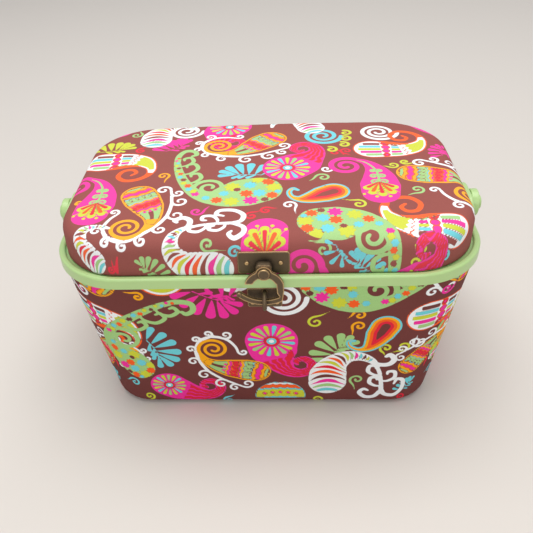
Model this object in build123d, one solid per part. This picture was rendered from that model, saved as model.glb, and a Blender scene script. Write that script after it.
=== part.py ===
"""Fabric-covered sewing box with a padded hinged lid, a moulded rim, a swinging handle and two nested trays.

Millimetres. The origin is the centre of the underside, +Z is up, the latch faces -Y and the hinges are at +Y.
Every level and clearance is worked out from the driving dimensions below.
"""

from build123d import *
from math import asin, atan2, cos, degrees, hypot, radians, sin, sqrt
import os

# ---------------------------------------------------------------- driving dimensions
RIM_WIDTH = 262.0  # outside of the moulded rim, along X
RIM_DEPTH = 174.0  # outside of the moulded rim, along Y
RIM_CORNER = 46.0  # corner radius of the rim in plan
RIM_Z = 117.0  # underside of the rim's outer face
RIM_FACE = 7.0  # height of that face
RIM_LIP = 4.2  # width of the raised lip round the lid
RIM_SKIN = 1.4  # thickness of the rim's two skirts
RIM_WEB = 3.0  # thickness of the ledge that carries lid and trays
RIM_LEDGE = 16.0  # from the outer face to the edge of the opening
LEDGE_DROP = 2.0  # lip above ledge
INNER_SKIRT = 11.0  # how far the inner skirt reaches down inside the wall
EDGE_ROUND = 1.5

WALL_TAPER = 18.5  # how far each wall comes in from the rim to the base
BASE_CORNER = 28.0  # corner radius in plan at the base
BASE_ROUND = 7.0  # rounding of the bottom edge
COVER = 0.8  # printed cloth
BOARD = 2.4  # pressed board
LINING = 0.6  # lining cloth
TURN_IN = 13.0  # how far the cloth is turned in under the base
WALL_CLEAR = 0.2  # cloth to the rim's outer skirt at the top of the wall

LID_INSET = 5.0  # rim's outer face to the lid's cloth
LID_CORNER = 43.0
LID_TOP_Z = 149.0  # crown of the lid
LID_DOME = 3000.0  # radius of the crowned top
LID_CROWN = 9.0  # rounding of the top edge
LID_FOAM_SIDE = 1.5
LID_FOAM_TOP = 7.0
LID_WALL = 2.2
LID_FRAME = 2.7  # height of the plastic frame under the lid
LID_SEAT = 0.3  # running gap between the lid's frame and the ledge
COVER_UP = 0.9  # the cloth ends this far above the frame's underside
LINING_PANEL = 2.7
POCKET = 3.4
POCKET_WIDTH = 196.0
POCKET_DEPTH = 82.0
POCKET_BOTTOM = 12.0  # pocket's lower edge to the lining panel's back edge
ELASTIC_WIDTH = 9.0

TRAY_FLANGE = 1.5
TRAY_WALL = 1.6
TRAY_RIB = 1.4
TRAY_EDGE = 10.5  # rim's outer face to the flanges' edge
TRAY_CLEAR = 1.0  # tray wall to the rim's opening
NEST_CLEAR = 1.4  # upper tray's wall to the lower tray's
LOWER_DEPTH = 50.0
UPPER_DEPTH = 24.0
TRAY_TAPER = 4.0
RIB_DROP = 2.5  # the ribs stop this far under the flange's top
SCOOP = 11.0  # finger scoops in the flanges
UPPER_COLUMN = 70.0  # width of the middle column of the upper tray
LOWER_RIB_X = 42.0
CUSHION_GAP = 0.3
CUSHION_ROUND = 8.0

HANDLE_REACH = 104.0  # pivot to the middle of the grip
HANDLE_BAR = 4.8
HANDLE_BREADTH = 12.0
HANDLE_BEND = 30.0
GRIP_LENGTH = 110.0
GRIP_THICK = 8.4
GRIP_BREADTH = 15.0
HANDLE_EYE = 9.0
LUG_LENGTH = 34.0
LUG_HEIGHT = 19.0
LUG_THICK = 3.6
PIVOT_PIN = 2.5
PIVOT_CLEAR = 0.05
SIDE_GAP = 0.4  # between lug, handle eye and pin head
PIN_HEAD = 5.0
PIN_HEAD_THICK = 2.0
HANDLE_CLEAR = 0.5  # hanging handle to the back of the box

PLATE = 1.2  # latch and hinge sheet
METAL_GAP = 0.05
LATCH_WIDTH = 30.0
LATCH_HEIGHT = 14.8
LATCH_CORNER = 1.6
BOSS_WIDTH = 9.0
BOSS_HEIGHT = 8.6
RIM_PASS = 1.7  # hook to the rim's face
HOOK_THICK = 1.8
HOOK_RADIUS = 20.6  # rivet to the middle of the tongue
HOOK_BREADTH = 3.2
HOOK_EYE = 4.6
ARCH_OUTER = 11.4
ARCH_INNER = 7.0
RIVET = 1.6
RIVET_HEAD = 3.4
RIVET_HEAD_THICK = 1.1
RIVET_RUNNING = 0.05
KEEPER_WIDTH = 20.6
KEEPER_HEIGHT = 16.0
STAPLE_WIRE = 1.25
STAPLE_BEND = 4.8
NAIL_SHANK = 0.6
NAIL_LENGTH = 4.2
NAIL_HEAD = 1.3
NAIL_HEAD_THICK = 0.7
LATCH_NAIL_X = 9.6
KEEPER_NAIL_X = 7.2

HINGE_X = 70.0
HINGE_WIDTH = 24.0
KNUCKLE = 2.3
KNUCKLE_GAP = 0.2
MIDDLE_KNUCKLE = 9.6
HINGE_PIN = 1.0
HINGE_RUNNING = 0.05
LEAF_HEIGHT = 12.0
LEAF_NAIL_X = 7.5

# ---------------------------------------------------------------- levels worked out from them
RIM_TOP = RIM_Z + RIM_FACE
LEDGE_Z = RIM_TOP - LEDGE_DROP
WEB_Z = LEDGE_Z - RIM_WEB  # underside of the ledge, and the top of the wall
WALL_INSET = RIM_SKIN + WALL_CLEAR
WALL_THICK = COVER + BOARD + LINING
SLOPE = degrees(atan2(WALL_TAPER, WEB_Z))
FRAME_Z = LEDGE_Z + LID_SEAT
FRAME_TOP = FRAME_Z + LID_FRAME
SHELL_TOP = LID_TOP_Z - COVER - LID_FOAM_TOP
SHELL_LAYER = COVER + LID_FOAM_SIDE
CEILING = SHELL_TOP - LID_WALL  # inside of the lid's board
LINING_Z = CEILING - LINING_PANEL
POCKET_Z = LINING_Z - POCKET
LOWER_TOP = LEDGE_Z + TRAY_FLANGE
UPPER_TOP = LOWER_TOP + TRAY_FLANGE
LOWER_INSET = RIM_LEDGE + TRAY_CLEAR
UPPER_INSET = LOWER_INSET + TRAY_WALL + NEST_CLEAR
LID_FRONT = RIM_DEPTH / 2 - LID_INSET
PIVOT_Z = RIM_Z + RIM_FACE / 2
LUG_FACE = RIM_WIDTH / 2 + LUG_THICK
HANDLE_IN = LUG_FACE + SIDE_GAP
HANDLE_OUT = HANDLE_IN + HANDLE_BAR
RIVET_Z = RIM_TOP + RIVET_HEAD + 1.9
HOOK_Y = RIM_DEPTH / 2 + RIM_PASS  # back face of the hook, towards -Y
HINGE_Y = RIM_DEPTH / 2 + METAL_GAP + KNUCKLE
HINGE_Z = RIM_TOP + 0.3 + KNUCKLE


# ---------------------------------------------------------------- helpers
def plan(inset, z, corner=None):
    """A rounded rectangle at height z, a given distance inside the rim's outer face."""
    radius = RIM_CORNER - inset if corner is None else corner
    return Pos(0, 0, z) * RectangleRounded(RIM_WIDTH - 2 * inset, RIM_DEPTH - 2 * inset, radius)


def block(inset, low, high, corner=None):
    return extrude(plan(inset, low, corner), amount=high - low)


def ring(outer, inner, low, high):
    """A band round the box between two insets."""
    return block(outer, low, high) - block(inner, low, high)


def wall_inset(z):
    """How far the wall's outer surface lies inside the rim's outer face at height z."""
    return WALL_INSET + WALL_TAPER * (WEB_Z - z) / WEB_Z


def wall_plan(z, layer):
    top_corner = RIM_CORNER - WALL_INSET
    corner = top_corner + (BASE_CORNER - top_corner) * (WEB_Z - z) / WEB_Z - layer
    return plan(wall_inset(z) + layer, z, corner)


def tub_block(layer):
    """The tapered body as a solid, a number of millimetres inside its outer surface."""
    solid = loft([wall_plan(layer, layer), wall_plan(WEB_Z, layer)], ruled=True)
    return fillet(solid.edges().group_by(Axis.Z)[0], BASE_ROUND - layer * 0.9)


def lid_block(layer, low):
    """The padded lid as a solid from a level up, a number of millimetres inside its cloth."""
    prism = block(LID_INSET + layer, low, LID_TOP_Z + 1, LID_CORNER - layer)
    dome = Pos(0, 0, LID_TOP_Z - LID_DOME) * Sphere(LID_DOME - layer)
    solid = (prism & dome).solid()
    return fillet(solid.faces().sort_by(Axis.Z)[-1].edges(), LID_CROWN - layer)


def along_x(radius, x_low, x_high, y, z):
    return Pos((x_low + x_high) / 2, y, z) * Rot(0, 90, 0) * Cylinder(radius, x_high - x_low)


def along_y(radius, y_low, y_high, x, z):
    return Pos(x, (y_low + y_high) / 2, z) * Rot(90, 0, 0) * Cylinder(radius, y_high - y_low)


def box_between(low, high):
    size = [b - a for a, b in zip(low, high)]
    middle = [(a + b) / 2 for a, b in zip(low, high)]
    return Pos(*middle) * Box(*size)


def nail():
    """A round-head pin standing on the XY plane, its shank pointing down."""
    head = Cylinder(NAIL_HEAD, NAIL_HEAD_THICK, align=(Align.CENTER, Align.CENTER, Align.MIN))
    head = fillet(head.edges().group_by(Axis.Z)[-1], NAIL_HEAD_THICK * 0.8)
    shank = Cylinder(NAIL_SHANK, NAIL_LENGTH, align=(Align.CENTER, Align.CENTER, Align.MAX))
    return head + shank


# ---------------------------------------------------------------- body
def make_body():
    outer = tub_block(0)
    board_outer = tub_block(COVER)
    lining_outer = tub_block(COVER + BOARD)
    inside = tub_block(WALL_THICK)
    window = block(wall_inset(0) + TURN_IN, 0, COVER, BASE_CORNER - TURN_IN)
    cover = outer - board_outer - window
    panel_inset = wall_inset(0) + TURN_IN + 0.2
    panel = block(panel_inset, 0, COVER, BASE_CORNER - TURN_IN - 0.2)
    return {
        "body_cover": cover,
        "body_shell": board_outer - lining_outer,
        "body_lining": lining_outer - inside,
        "base_panel": panel,
    }


def make_rim():
    rim = ring(0, RIM_SKIN, RIM_Z, WEB_Z) + ring(0, RIM_LIP, WEB_Z, RIM_TOP)
    rim += ring(RIM_LIP, RIM_LEDGE, WEB_Z, LEDGE_Z)
    skirt = wall_inset(WEB_Z - INNER_SKIRT) + WALL_THICK + WALL_CLEAR
    rim += ring(skirt, skirt + RIM_SKIN, WEB_Z - INNER_SKIRT, WEB_Z)
    rim = fillet(rim.edges().group_by(Axis.Z)[-1], EDGE_ROUND)
    for side in (-1, 1):
        low, high = sorted((side * (RIM_WIDTH / 2 - RIM_SKIN / 2), side * LUG_FACE))
        outline = Rot(0, 90, 0) * RectangleRounded(LUG_HEIGHT, LUG_LENGTH, LUG_HEIGHT * 0.49)
        lug = Pos(low, 0, PIVOT_Z) * extrude(outline, amount=high - low)
        rim += fillet(lug.edges().group_by(Axis.X)[-1 if side > 0 else 0], EDGE_ROUND)
    return rim


# ---------------------------------------------------------------- trays
def tray(inset, top, depth):
    """A tapered open tray hung from a flange, with finger scoops at its two ends."""
    low = top - depth
    corner = RIM_CORNER - inset

    def tub(layer, floor):
        bottom = plan(inset + TRAY_TAPER + layer, floor, corner - TRAY_TAPER - layer)
        return loft([bottom, plan(inset + layer, top, corner - layer)], ruled=True)

    flange = block(TRAY_EDGE, top - TRAY_FLANGE, top, LID_CORNER + LID_INSET - TRAY_EDGE)
    for side in (-1, 1):
        edge = side * (RIM_WIDTH / 2 - TRAY_EDGE + SCOOP / 2)
        flange -= Pos(edge, 0, top) * Cylinder(SCOOP, 4 * TRAY_FLANGE)
    shell = tub(0, low) + flange - tub(TRAY_WALL, low + TRAY_WALL)
    return shell, tub(TRAY_WALL, low + TRAY_WALL)


def ribs(room, low, top, across, along):
    """Ribs inside a tray: across lists X places, along lists (y, x_low, x_high)."""
    made = None
    for x in across:
        rib = box_between((x - TRAY_RIB / 2, -RIM_DEPTH, low), (x + TRAY_RIB / 2, RIM_DEPTH, top))
        made = rib if made is None else made + rib
    for y, x_low, x_high in along:
        made += box_between((x_low, y - TRAY_RIB / 2, low), (x_high, y + TRAY_RIB / 2, top))
    return made & room


def make_trays():
    lower, room = tray(LOWER_INSET, LOWER_TOP, LOWER_DEPTH)
    low = LOWER_TOP - LOWER_DEPTH
    rib_top = UPPER_TOP - UPPER_DEPTH - NEST_CLEAR
    lower += ribs(room, low, rib_top, (-LOWER_RIB_X, LOWER_RIB_X), ())
    upper, room = tray(UPPER_INSET, UPPER_TOP, UPPER_DEPTH)
    low = UPPER_TOP - UPPER_DEPTH
    half = UPPER_COLUMN / 2
    upper += ribs(room, low, UPPER_TOP - RIB_DROP, (-half, half), ((0, -RIM_WIDTH, RIM_WIDTH),))
    front = UPPER_INSET + TRAY_TAPER + TRAY_WALL - RIM_DEPTH / 2
    back = -TRAY_RIB / 2
    size_y = back - front - 2 * CUSHION_GAP
    size_x = UPPER_COLUMN - TRAY_RIB - 2 * CUSHION_GAP
    base = low + TRAY_WALL
    cushion = Pos(0, (front + back) / 2, base) * Box(
        size_x, size_y, UPPER_TOP - base, align=(Align.CENTER, Align.CENTER, Align.MIN)
    )
    cushion = fillet(cushion.edges().filter_by(Axis.Z), CUSHION_ROUND / 2)
    cushion = fillet(cushion.edges().group_by(Axis.Z)[-1], CUSHION_ROUND)
    return {"lower_tray": lower, "upper_tray": upper, "pin_cushion": cushion}


# ---------------------------------------------------------------- lid
def make_lid():
    skin_inside = lid_block(COVER, FRAME_Z)
    cover = lid_block(0, FRAME_Z + COVER_UP) - skin_inside
    shell_layer = LID_INSET + SHELL_LAYER
    shell_outer = block(shell_layer, FRAME_TOP, SHELL_TOP, LID_CORNER - SHELL_LAYER)
    shell_outer = fillet(shell_outer.edges().group_by(Axis.Z)[-1], LID_CROWN - SHELL_LAYER)
    inner_layer = SHELL_LAYER + LID_WALL
    hollow = block(LID_INSET + inner_layer, FRAME_TOP, CEILING, LID_CORNER - inner_layer)
    hollow = fillet(hollow.edges().group_by(Axis.Z)[-1], LID_CROWN - inner_layer)
    above = block(LID_INSET, FRAME_TOP, LID_TOP_Z + 1, LID_CORNER)
    foam = (skin_inside & above) - shell_outer
    gap = COVER + 0.1
    frame = block(LID_INSET + gap, FRAME_Z, FRAME_TOP, LID_CORNER - gap)
    frame -= block(LID_INSET + inner_layer, FRAME_Z, FRAME_TOP, LID_CORNER - inner_layer)
    panel_layer = inner_layer + LID_CROWN - inner_layer + 0.3
    panel = block(LID_INSET + panel_layer, LINING_Z, CEILING, LID_CORNER - panel_layer)
    panel_back = RIM_DEPTH / 2 - LID_INSET - panel_layer
    pocket_high = panel_back - POCKET_BOTTOM
    pocket_low = pocket_high - POCKET_DEPTH
    half = POCKET_WIDTH / 2
    pocket = box_between((-half, pocket_low + ELASTIC_WIDTH, POCKET_Z), (half, pocket_high, LINING_Z))
    pocket = fillet(pocket.edges().group_by(Axis.Z)[0], POCKET * 0.45)
    elastic = box_between((-half, pocket_low, POCKET_Z), (half, pocket_low + ELASTIC_WIDTH, LINING_Z))
    elastic = fillet(elastic.edges().group_by(Axis.Z)[0], POCKET * 0.25)
    return {
        "lid_cover": cover,
        "lid_foam": foam,
        "lid_shell": shell_outer - hollow,
        "lid_frame": frame,
        "lid_lining": panel,
        "lid_pocket": pocket,
        "pocket_elastic": elastic,
    }


# ---------------------------------------------------------------- handle
def handle_drop():
    """Degrees below level at which the hanging grip comes to the back of the box."""
    reach = HANDLE_REACH - GRIP_THICK / 2
    low, high = 5.0, 80.0
    for _ in range(40):
        angle = (low + high) / 2
        # the grip's inner face, corner included, against the sloping wall
        touches = False
        for offset in (-GRIP_BREADTH / 2, 0, GRIP_BREADTH / 2):
            y = reach * cos(radians(angle)) + offset * sin(radians(angle))
            z = PIVOT_Z - reach * sin(radians(angle)) + offset * cos(radians(angle))
            surface = RIM_DEPTH / 2 - wall_inset(max(0, min(z, RIM_Z)))
            touches = touches or y < surface + HANDLE_CLEAR or z < 0
        if touches:
            high = angle
        else:
            low = angle
    return low


def make_handle():
    middle = (HANDLE_IN + HANDLE_OUT) / 2
    bar = RectangleRounded(HANDLE_BAR, HANDLE_BREADTH, HANDLE_BAR * 0.4)
    path = FilletPolyline(
        (-middle, 0, 0), (-middle, 0, HANDLE_REACH), (middle, 0, HANDLE_REACH), (middle, 0, 0),
        radius=HANDLE_BEND,
    )
    bail = sweep(Plane(origin=(-middle, 0, 0), z_dir=(0, 0, 1)) * bar, path=path)
    grip_plane = Plane(origin=(-GRIP_LENGTH / 2, 0, HANDLE_REACH), x_dir=(0, 1, 0), z_dir=(1, 0, 0))
    grip = extrude(
        grip_plane * RectangleRounded(GRIP_BREADTH, GRIP_THICK, GRIP_THICK * 0.42), amount=GRIP_LENGTH
    )
    grip = fillet(grip.faces().filter_by(Plane.YZ).edges(), 1.2)
    handle = bail + grip
    for side in (-1, 1):
        low, high = sorted((side * HANDLE_IN, side * HANDLE_OUT))
        eye = along_x(HANDLE_EYE, low, high, 0, 0)
        handle += fillet(eye.edges(), 0.8)
    for side in (-1, 1):
        low, high = sorted((side * HANDLE_IN, side * HANDLE_OUT))
        handle -= along_x(PIVOT_PIN + PIVOT_CLEAR, low - 1, high + 1, 0, 0)
    return Pos(0, 0, PIVOT_Z) * Rot(-(90 + handle_drop()), 0, 0) * handle


def make_handle_pins():
    pins = []
    for side in (-1, 1):
        root, tip = side * (RIM_WIDTH / 2), side * (HANDLE_OUT + SIDE_GAP)
        pin = along_x(PIVOT_PIN, *sorted((root, tip)), 0, PIVOT_Z)
        head = along_x(PIN_HEAD, *sorted((tip, tip + side * PIN_HEAD_THICK)), 0, PIVOT_Z)
        head = fillet(head.edges().group_by(Axis.X)[-1 if side > 0 else 0], PIN_HEAD_THICK * 0.6)
        pins.append(pin + head)
    return pins


# ---------------------------------------------------------------- latch
def facing_front(x, y, z, tilt=0.0):
    """Puts a thing drawn on the XY plane, standing up along +Z, on a face that looks along -Y."""
    return Pos(x, y, z) * Rot(90 + tilt, 0, 0)


def hook_outline():
    """The swinging hook seen from the front, its rivet at the origin."""
    inner, outer = HOOK_RADIUS - HOOK_BREADTH / 2, HOOK_RADIUS + HOOK_BREADTH / 2
    tip, heel = -135.0, -62.0

    def polar(radius, angle):
        return (radius * cos(radians(angle)), radius * sin(radians(angle)))

    tongue = make_face(
        ThreePointArc(polar(outer, tip), polar(outer, (tip + heel) / 2), polar(outer, heel))
        + Line(polar(outer, heel), polar(inner, heel))
        + ThreePointArc(polar(inner, heel), polar(inner, (tip + heel) / 2), polar(inner, tip))
        + Line(polar(inner, tip), polar(outer, tip))
    )
    arch_z = -ARCH_OUTER + 1.6
    arch = Pos(0, arch_z) * (Circle(ARCH_OUTER) - Circle(ARCH_INNER))
    keep = Pos(0, arch_z + ARCH_OUTER) * Rectangle(2.2 * ARCH_OUTER, 2 * ARCH_OUTER - 5.2)
    arch = arch & keep
    heel_point = polar(inner, heel)
    leg = make_face(
        Polyline(
            (ARCH_INNER, arch_z + 3), (ARCH_OUTER - 0.2, arch_z + 3), (ARCH_OUTER, arch_z - 2.5),
            polar(outer, heel), heel_point, (ARCH_INNER + 0.4, arch_z - 4), (ARCH_INNER, arch_z + 3),
        )
    )
    return Circle(HOOK_EYE) + arch + leg + tongue + Pos(*polar(HOOK_RADIUS, tip)) * Circle(HOOK_BREADTH / 2)


def make_latch():
    front = -LID_FRONT - METAL_GAP
    plate_low = RIM_TOP + 0.5
    face = facing_front(0, front, plate_low + LATCH_HEIGHT / 2)
    plate = extrude(RectangleRounded(LATCH_WIDTH, LATCH_HEIGHT, LATCH_CORNER), amount=PLATE)
    plate = fillet(plate.edges().group_by(Axis.Z)[-1], PLATE * 0.4)
    boss_out = HOOK_Y - 0.15 - LID_FRONT - METAL_GAP
    boss_mid = RIVET_Z - plate_low - LATCH_HEIGHT / 2
    boss = extrude(Pos(0, boss_mid) * RectangleRounded(BOSS_WIDTH, BOSS_HEIGHT, 2.0), amount=boss_out)
    boss = fillet(boss.edges().group_by(Axis.Z)[-1], 0.8)
    plate = face * (plate + boss)
    bore = along_y(RIVET, -HOOK_Y - HOOK_THICK, front - PLATE, 0, RIVET_Z)
    plate -= bore
    hook = extrude(hook_outline(), amount=HOOK_THICK)
    hook = hook - Cylinder(RIVET + RIVET_RUNNING, 4 * HOOK_THICK)
    hook = facing_front(0, -HOOK_Y, RIVET_Z) * hook
    tip = facing_front(
        HOOK_RADIUS * cos(radians(-135)), -HOOK_Y, RIVET_Z + HOOK_RADIUS * sin(radians(-135))
    ) * Cylinder(HOOK_BREADTH / 2, HOOK_THICK + 0.9, align=(Align.CENTER, Align.CENTER, Align.MIN))
    hook += fillet(tip.edges().group_by(Axis.Y)[0], 0.8)
    head_back = -HOOK_Y - HOOK_THICK - 0.1
    head = along_y(RIVET_HEAD, head_back - RIVET_HEAD_THICK, head_back, 0, RIVET_Z)
    head = fillet(head.edges().group_by(Axis.Y)[0], RIVET_HEAD_THICK * 0.7)
    rivet = head + along_y(RIVET, head_back, front - PLATE, 0, RIVET_Z)
    lid_nails = [
        facing_front(s * LATCH_NAIL_X, front - PLATE, plate_low + LATCH_HEIGHT / 2) * nail() for s in (-1, 1)
    ]
    keeper_mid = RIM_Z - 0.8 - KEEPER_HEIGHT / 2
    keeper_y = -(RIM_DEPTH / 2 - wall_inset(keeper_mid)) - METAL_GAP
    slope_face = facing_front(0, keeper_y, keeper_mid, SLOPE)
    keeper = extrude(RectangleRounded(KEEPER_WIDTH, KEEPER_HEIGHT, LATCH_CORNER), amount=PLATE)
    keeper = slope_face * fillet(keeper.edges().group_by(Axis.Z)[-1], PLATE * 0.4)
    keeper_nails = [
        slope_face * Pos(s * KEEPER_NAIL_X, -KEEPER_HEIGHT / 2 + 4, PLATE) * nail() for s in (-1, 1)
    ]
    staple_z = RIVET_Z - HOOK_RADIUS
    staple_y = -HOOK_Y + 0.2
    bend = Pos(0, staple_y, staple_z) * Rot(0, 90, 0) * Torus(STAPLE_BEND, STAPLE_WIRE)
    bend &= box_between((-5, staple_y - 20, staple_z - 20), (5, staple_y, staple_z + 20))
    staple = bend
    for s in (-1, 1):
        z = staple_z + s * STAPLE_BEND
        root = -(RIM_DEPTH / 2 - wall_inset(z)) - METAL_GAP
        staple += along_y(STAPLE_WIRE, staple_y, root - 0.3, 0, z)
    keeper -= staple
    return {
        "latch_lid_plate": plate,
        "latch_hook": hook,
        "latch_rivet": rivet,
        "latch_lid_nails": lid_nails,
        "latch_keeper_plate": keeper,
        "latch_keeper_nails": keeper_nails,
        "latch_staple": staple,
    }


# ---------------------------------------------------------------- hinges
def make_hinges():
    rim_leaves, lid_leaves, pins, rim_nails, lid_nails = [], [], [], [], []
    rim_back = RIM_DEPTH / 2 + METAL_GAP
    lid_back = LID_FRONT + METAL_GAP
    half, mid = HINGE_WIDTH / 2, MIDDLE_KNUCKLE / 2
    jog_low = HINGE_Z - KNUCKLE
    bore = HINGE_PIN + HINGE_RUNNING
    for x in (-HINGE_X, HINGE_X):
        leaf = box_between((x - half, rim_back, RIM_Z + 0.5), (x + half, rim_back + PLATE, HINGE_Z))
        leaf -= box_between(
            (x - mid - KNUCKLE_GAP, rim_back - 1, RIM_TOP - 0.6),
            (x + mid + KNUCKLE_GAP, rim_back + 9, HINGE_Z + 1),
        )
        for a, b in ((-half, -mid - KNUCKLE_GAP), (mid + KNUCKLE_GAP, half)):
            leaf += along_x(KNUCKLE, x + a, x + b, HINGE_Y, HINGE_Z)
        leaf -= along_x(bore, x - half - 1, x + half + 1, HINGE_Y, HINGE_Z)
        rim_leaves.append(leaf)
        other = box_between((x - half, lid_back, jog_low), (x + half, lid_back + PLATE, jog_low + LEAF_HEIGHT))
        other += box_between((x - half, lid_back, jog_low), (x + half, RIM_DEPTH / 2 - 0.3, jog_low + PLATE))
        other += box_between((x - mid, lid_back, jog_low), (x + mid, HINGE_Y, jog_low + PLATE))
        other += along_x(KNUCKLE, x - mid, x + mid, HINGE_Y, HINGE_Z)
        other -= along_x(bore, x - half, x + half, HINGE_Y, HINGE_Z)
        lid_leaves.append(other)
        pin = along_x(HINGE_PIN, x - half - 0.2, x + half + 0.2, HINGE_Y, HINGE_Z)
        for s in (-1, 1):
            end = x + s * (half + 0.2)
            cap = along_x(HINGE_PIN * 1.7, *sorted((end, end + s * 0.8)), HINGE_Y, HINGE_Z)
            pin += fillet(cap.edges().group_by(Axis.X)[-1 if s > 0 else 0], 0.4)
        pins.append(pin)
        for s in (-1, 1):
            back = Rot(-90, 0, 0) * nail()
            rim_nails.append(Pos(x + s * LEAF_NAIL_X, rim_back + PLATE, (WEB_Z + LEDGE_Z) / 2) * back)
            lid_nails.append(Pos(x + s * LEAF_NAIL_X, lid_back + PLATE, jog_low + LEAF_HEIGHT * 0.62) * back)
    return {
        "hinge_rim_leaves": rim_leaves,
        "hinge_lid_leaves": lid_leaves,
        "hinge_pins": pins,
        "hinge_rim_nails": rim_nails,
        "hinge_lid_nails": lid_nails,
    }


# ---------------------------------------------------------------- assembly
def cut(parts, name, tools):
    """Cuts the space that fasteners take out of a part."""
    for tool in tools:
        parts[name] = parts[name] - tool


def main():
    parts = {**make_body(), "rim": make_rim(), **make_trays(), **make_lid()}
    parts["handle"] = make_handle()
    parts["handle_pins"] = make_handle_pins()
    parts.update(make_latch())
    parts.update(make_hinges())
    cut(parts, "rim", parts["handle_pins"] + parts["hinge_rim_nails"])
    for name in ("lid_cover", "lid_foam", "lid_shell"):
        cut(parts, name, parts["latch_lid_nails"] + parts["hinge_lid_nails"])
    for name in ("body_cover", "body_shell", "body_lining"):
        cut(parts, name, parts["latch_keeper_nails"])
    cut(parts, "latch_lid_plate", parts["latch_lid_nails"])
    cut(parts, "latch_keeper_plate", parts["latch_keeper_nails"])
    for index in range(2):
        for nails, leaves in (("hinge_rim_nails", "hinge_rim_leaves"), ("hinge_lid_nails", "hinge_lid_leaves")):
            for tool in parts[nails]:
                parts[leaves][index] = parts[leaves][index] - tool
    os.makedirs("parts", exist_ok=True)
    for name, shape in parts.items():
        if isinstance(shape, list):
            shape = Compound(children=[solid for item in shape for solid in item.solids()])
        export_step(shape, f"parts/{name}.step")
    print("handle hangs", round(handle_drop(), 2), "degrees below level; wall slope", round(SLOPE, 2))
    print("room over the trays", round(POCKET_Z - UPPER_TOP, 2))


main()
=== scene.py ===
"""The looks of the sewing box: printed cloth, padding, moulded rim, antique brass, trays and lining.

Everything is in metres in the part's frame: the origin is the centre of the underside, +Z is up and the latch
faces -Y. The printed pattern is drawn here, motif by motif, as signed distances held on the cloth's vertices.
"""

from __future__ import annotations

import logging
import math
from dataclasses import dataclass
from enum import Enum
from typing import Callable

import bmesh
import bpy
import numpy as np
from mathutils import Matrix, Vector

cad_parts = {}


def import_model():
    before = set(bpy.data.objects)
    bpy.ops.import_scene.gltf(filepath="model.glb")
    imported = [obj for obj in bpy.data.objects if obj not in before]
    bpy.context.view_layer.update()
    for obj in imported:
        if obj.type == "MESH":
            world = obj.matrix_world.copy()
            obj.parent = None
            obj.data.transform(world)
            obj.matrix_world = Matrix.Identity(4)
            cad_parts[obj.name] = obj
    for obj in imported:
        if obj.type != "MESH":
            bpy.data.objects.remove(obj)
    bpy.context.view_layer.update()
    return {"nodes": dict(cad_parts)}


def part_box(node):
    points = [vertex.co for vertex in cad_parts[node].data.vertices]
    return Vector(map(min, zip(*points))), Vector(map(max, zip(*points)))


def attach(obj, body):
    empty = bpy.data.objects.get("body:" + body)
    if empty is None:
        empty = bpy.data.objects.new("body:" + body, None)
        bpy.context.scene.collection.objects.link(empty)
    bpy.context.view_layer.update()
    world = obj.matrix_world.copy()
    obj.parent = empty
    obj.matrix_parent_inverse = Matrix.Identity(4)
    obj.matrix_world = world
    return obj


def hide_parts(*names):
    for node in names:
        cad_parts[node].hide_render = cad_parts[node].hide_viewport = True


log = logging.getLogger("sewing_box")
MM = 0.001


# ---------------------------------------------------------------- shader helpers
class Socket:
    """A shader value that can be used in Python expressions."""

    def __init__(self, shader: Shader, link: bpy.types.NodeSocket) -> None:
        """Wraps an output.

        Args:
            shader: the material it belongs to.
            link: the output itself.
        """
        self.shader = shader
        self.link = link

    def _math(self, operation: str, *values: Socket | float) -> Socket:
        """Adds a maths node.

        Args:
            operation: the node's operation.
            *values: what it works on.

        Returns:
            Its result.
        """
        return self.shader.node("ShaderNodeMath", {"operation": operation}, dict(enumerate(values)))

    def __add__(self, other: Socket | float) -> Socket:
        """Adds another value."""
        return self._math("ADD", self, other)

    def __radd__(self, other: float) -> Socket:
        """Adds this value to a number."""
        return self._math("ADD", other, self)

    def __sub__(self, other: Socket | float) -> Socket:
        """Takes another value away."""
        return self._math("SUBTRACT", self, other)

    def __rsub__(self, other: float) -> Socket:
        """Takes this value from a number."""
        return self._math("SUBTRACT", other, self)

    def __mul__(self, other: Socket | float) -> Socket:
        """Multiplies by another value."""
        return self._math("MULTIPLY", self, other)

    def __rmul__(self, other: float) -> Socket:
        """Multiplies a number by this value."""
        return self._math("MULTIPLY", other, self)

    def sine(self) -> Socket:
        """Returns the sine of this value."""
        return self._math("SINE", self)

    def clamp(self) -> Socket:
        """Returns this value held between 0 and 1."""
        return self._math("MINIMUM", self._math("MAXIMUM", self, 0.0), 1.0)


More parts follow.
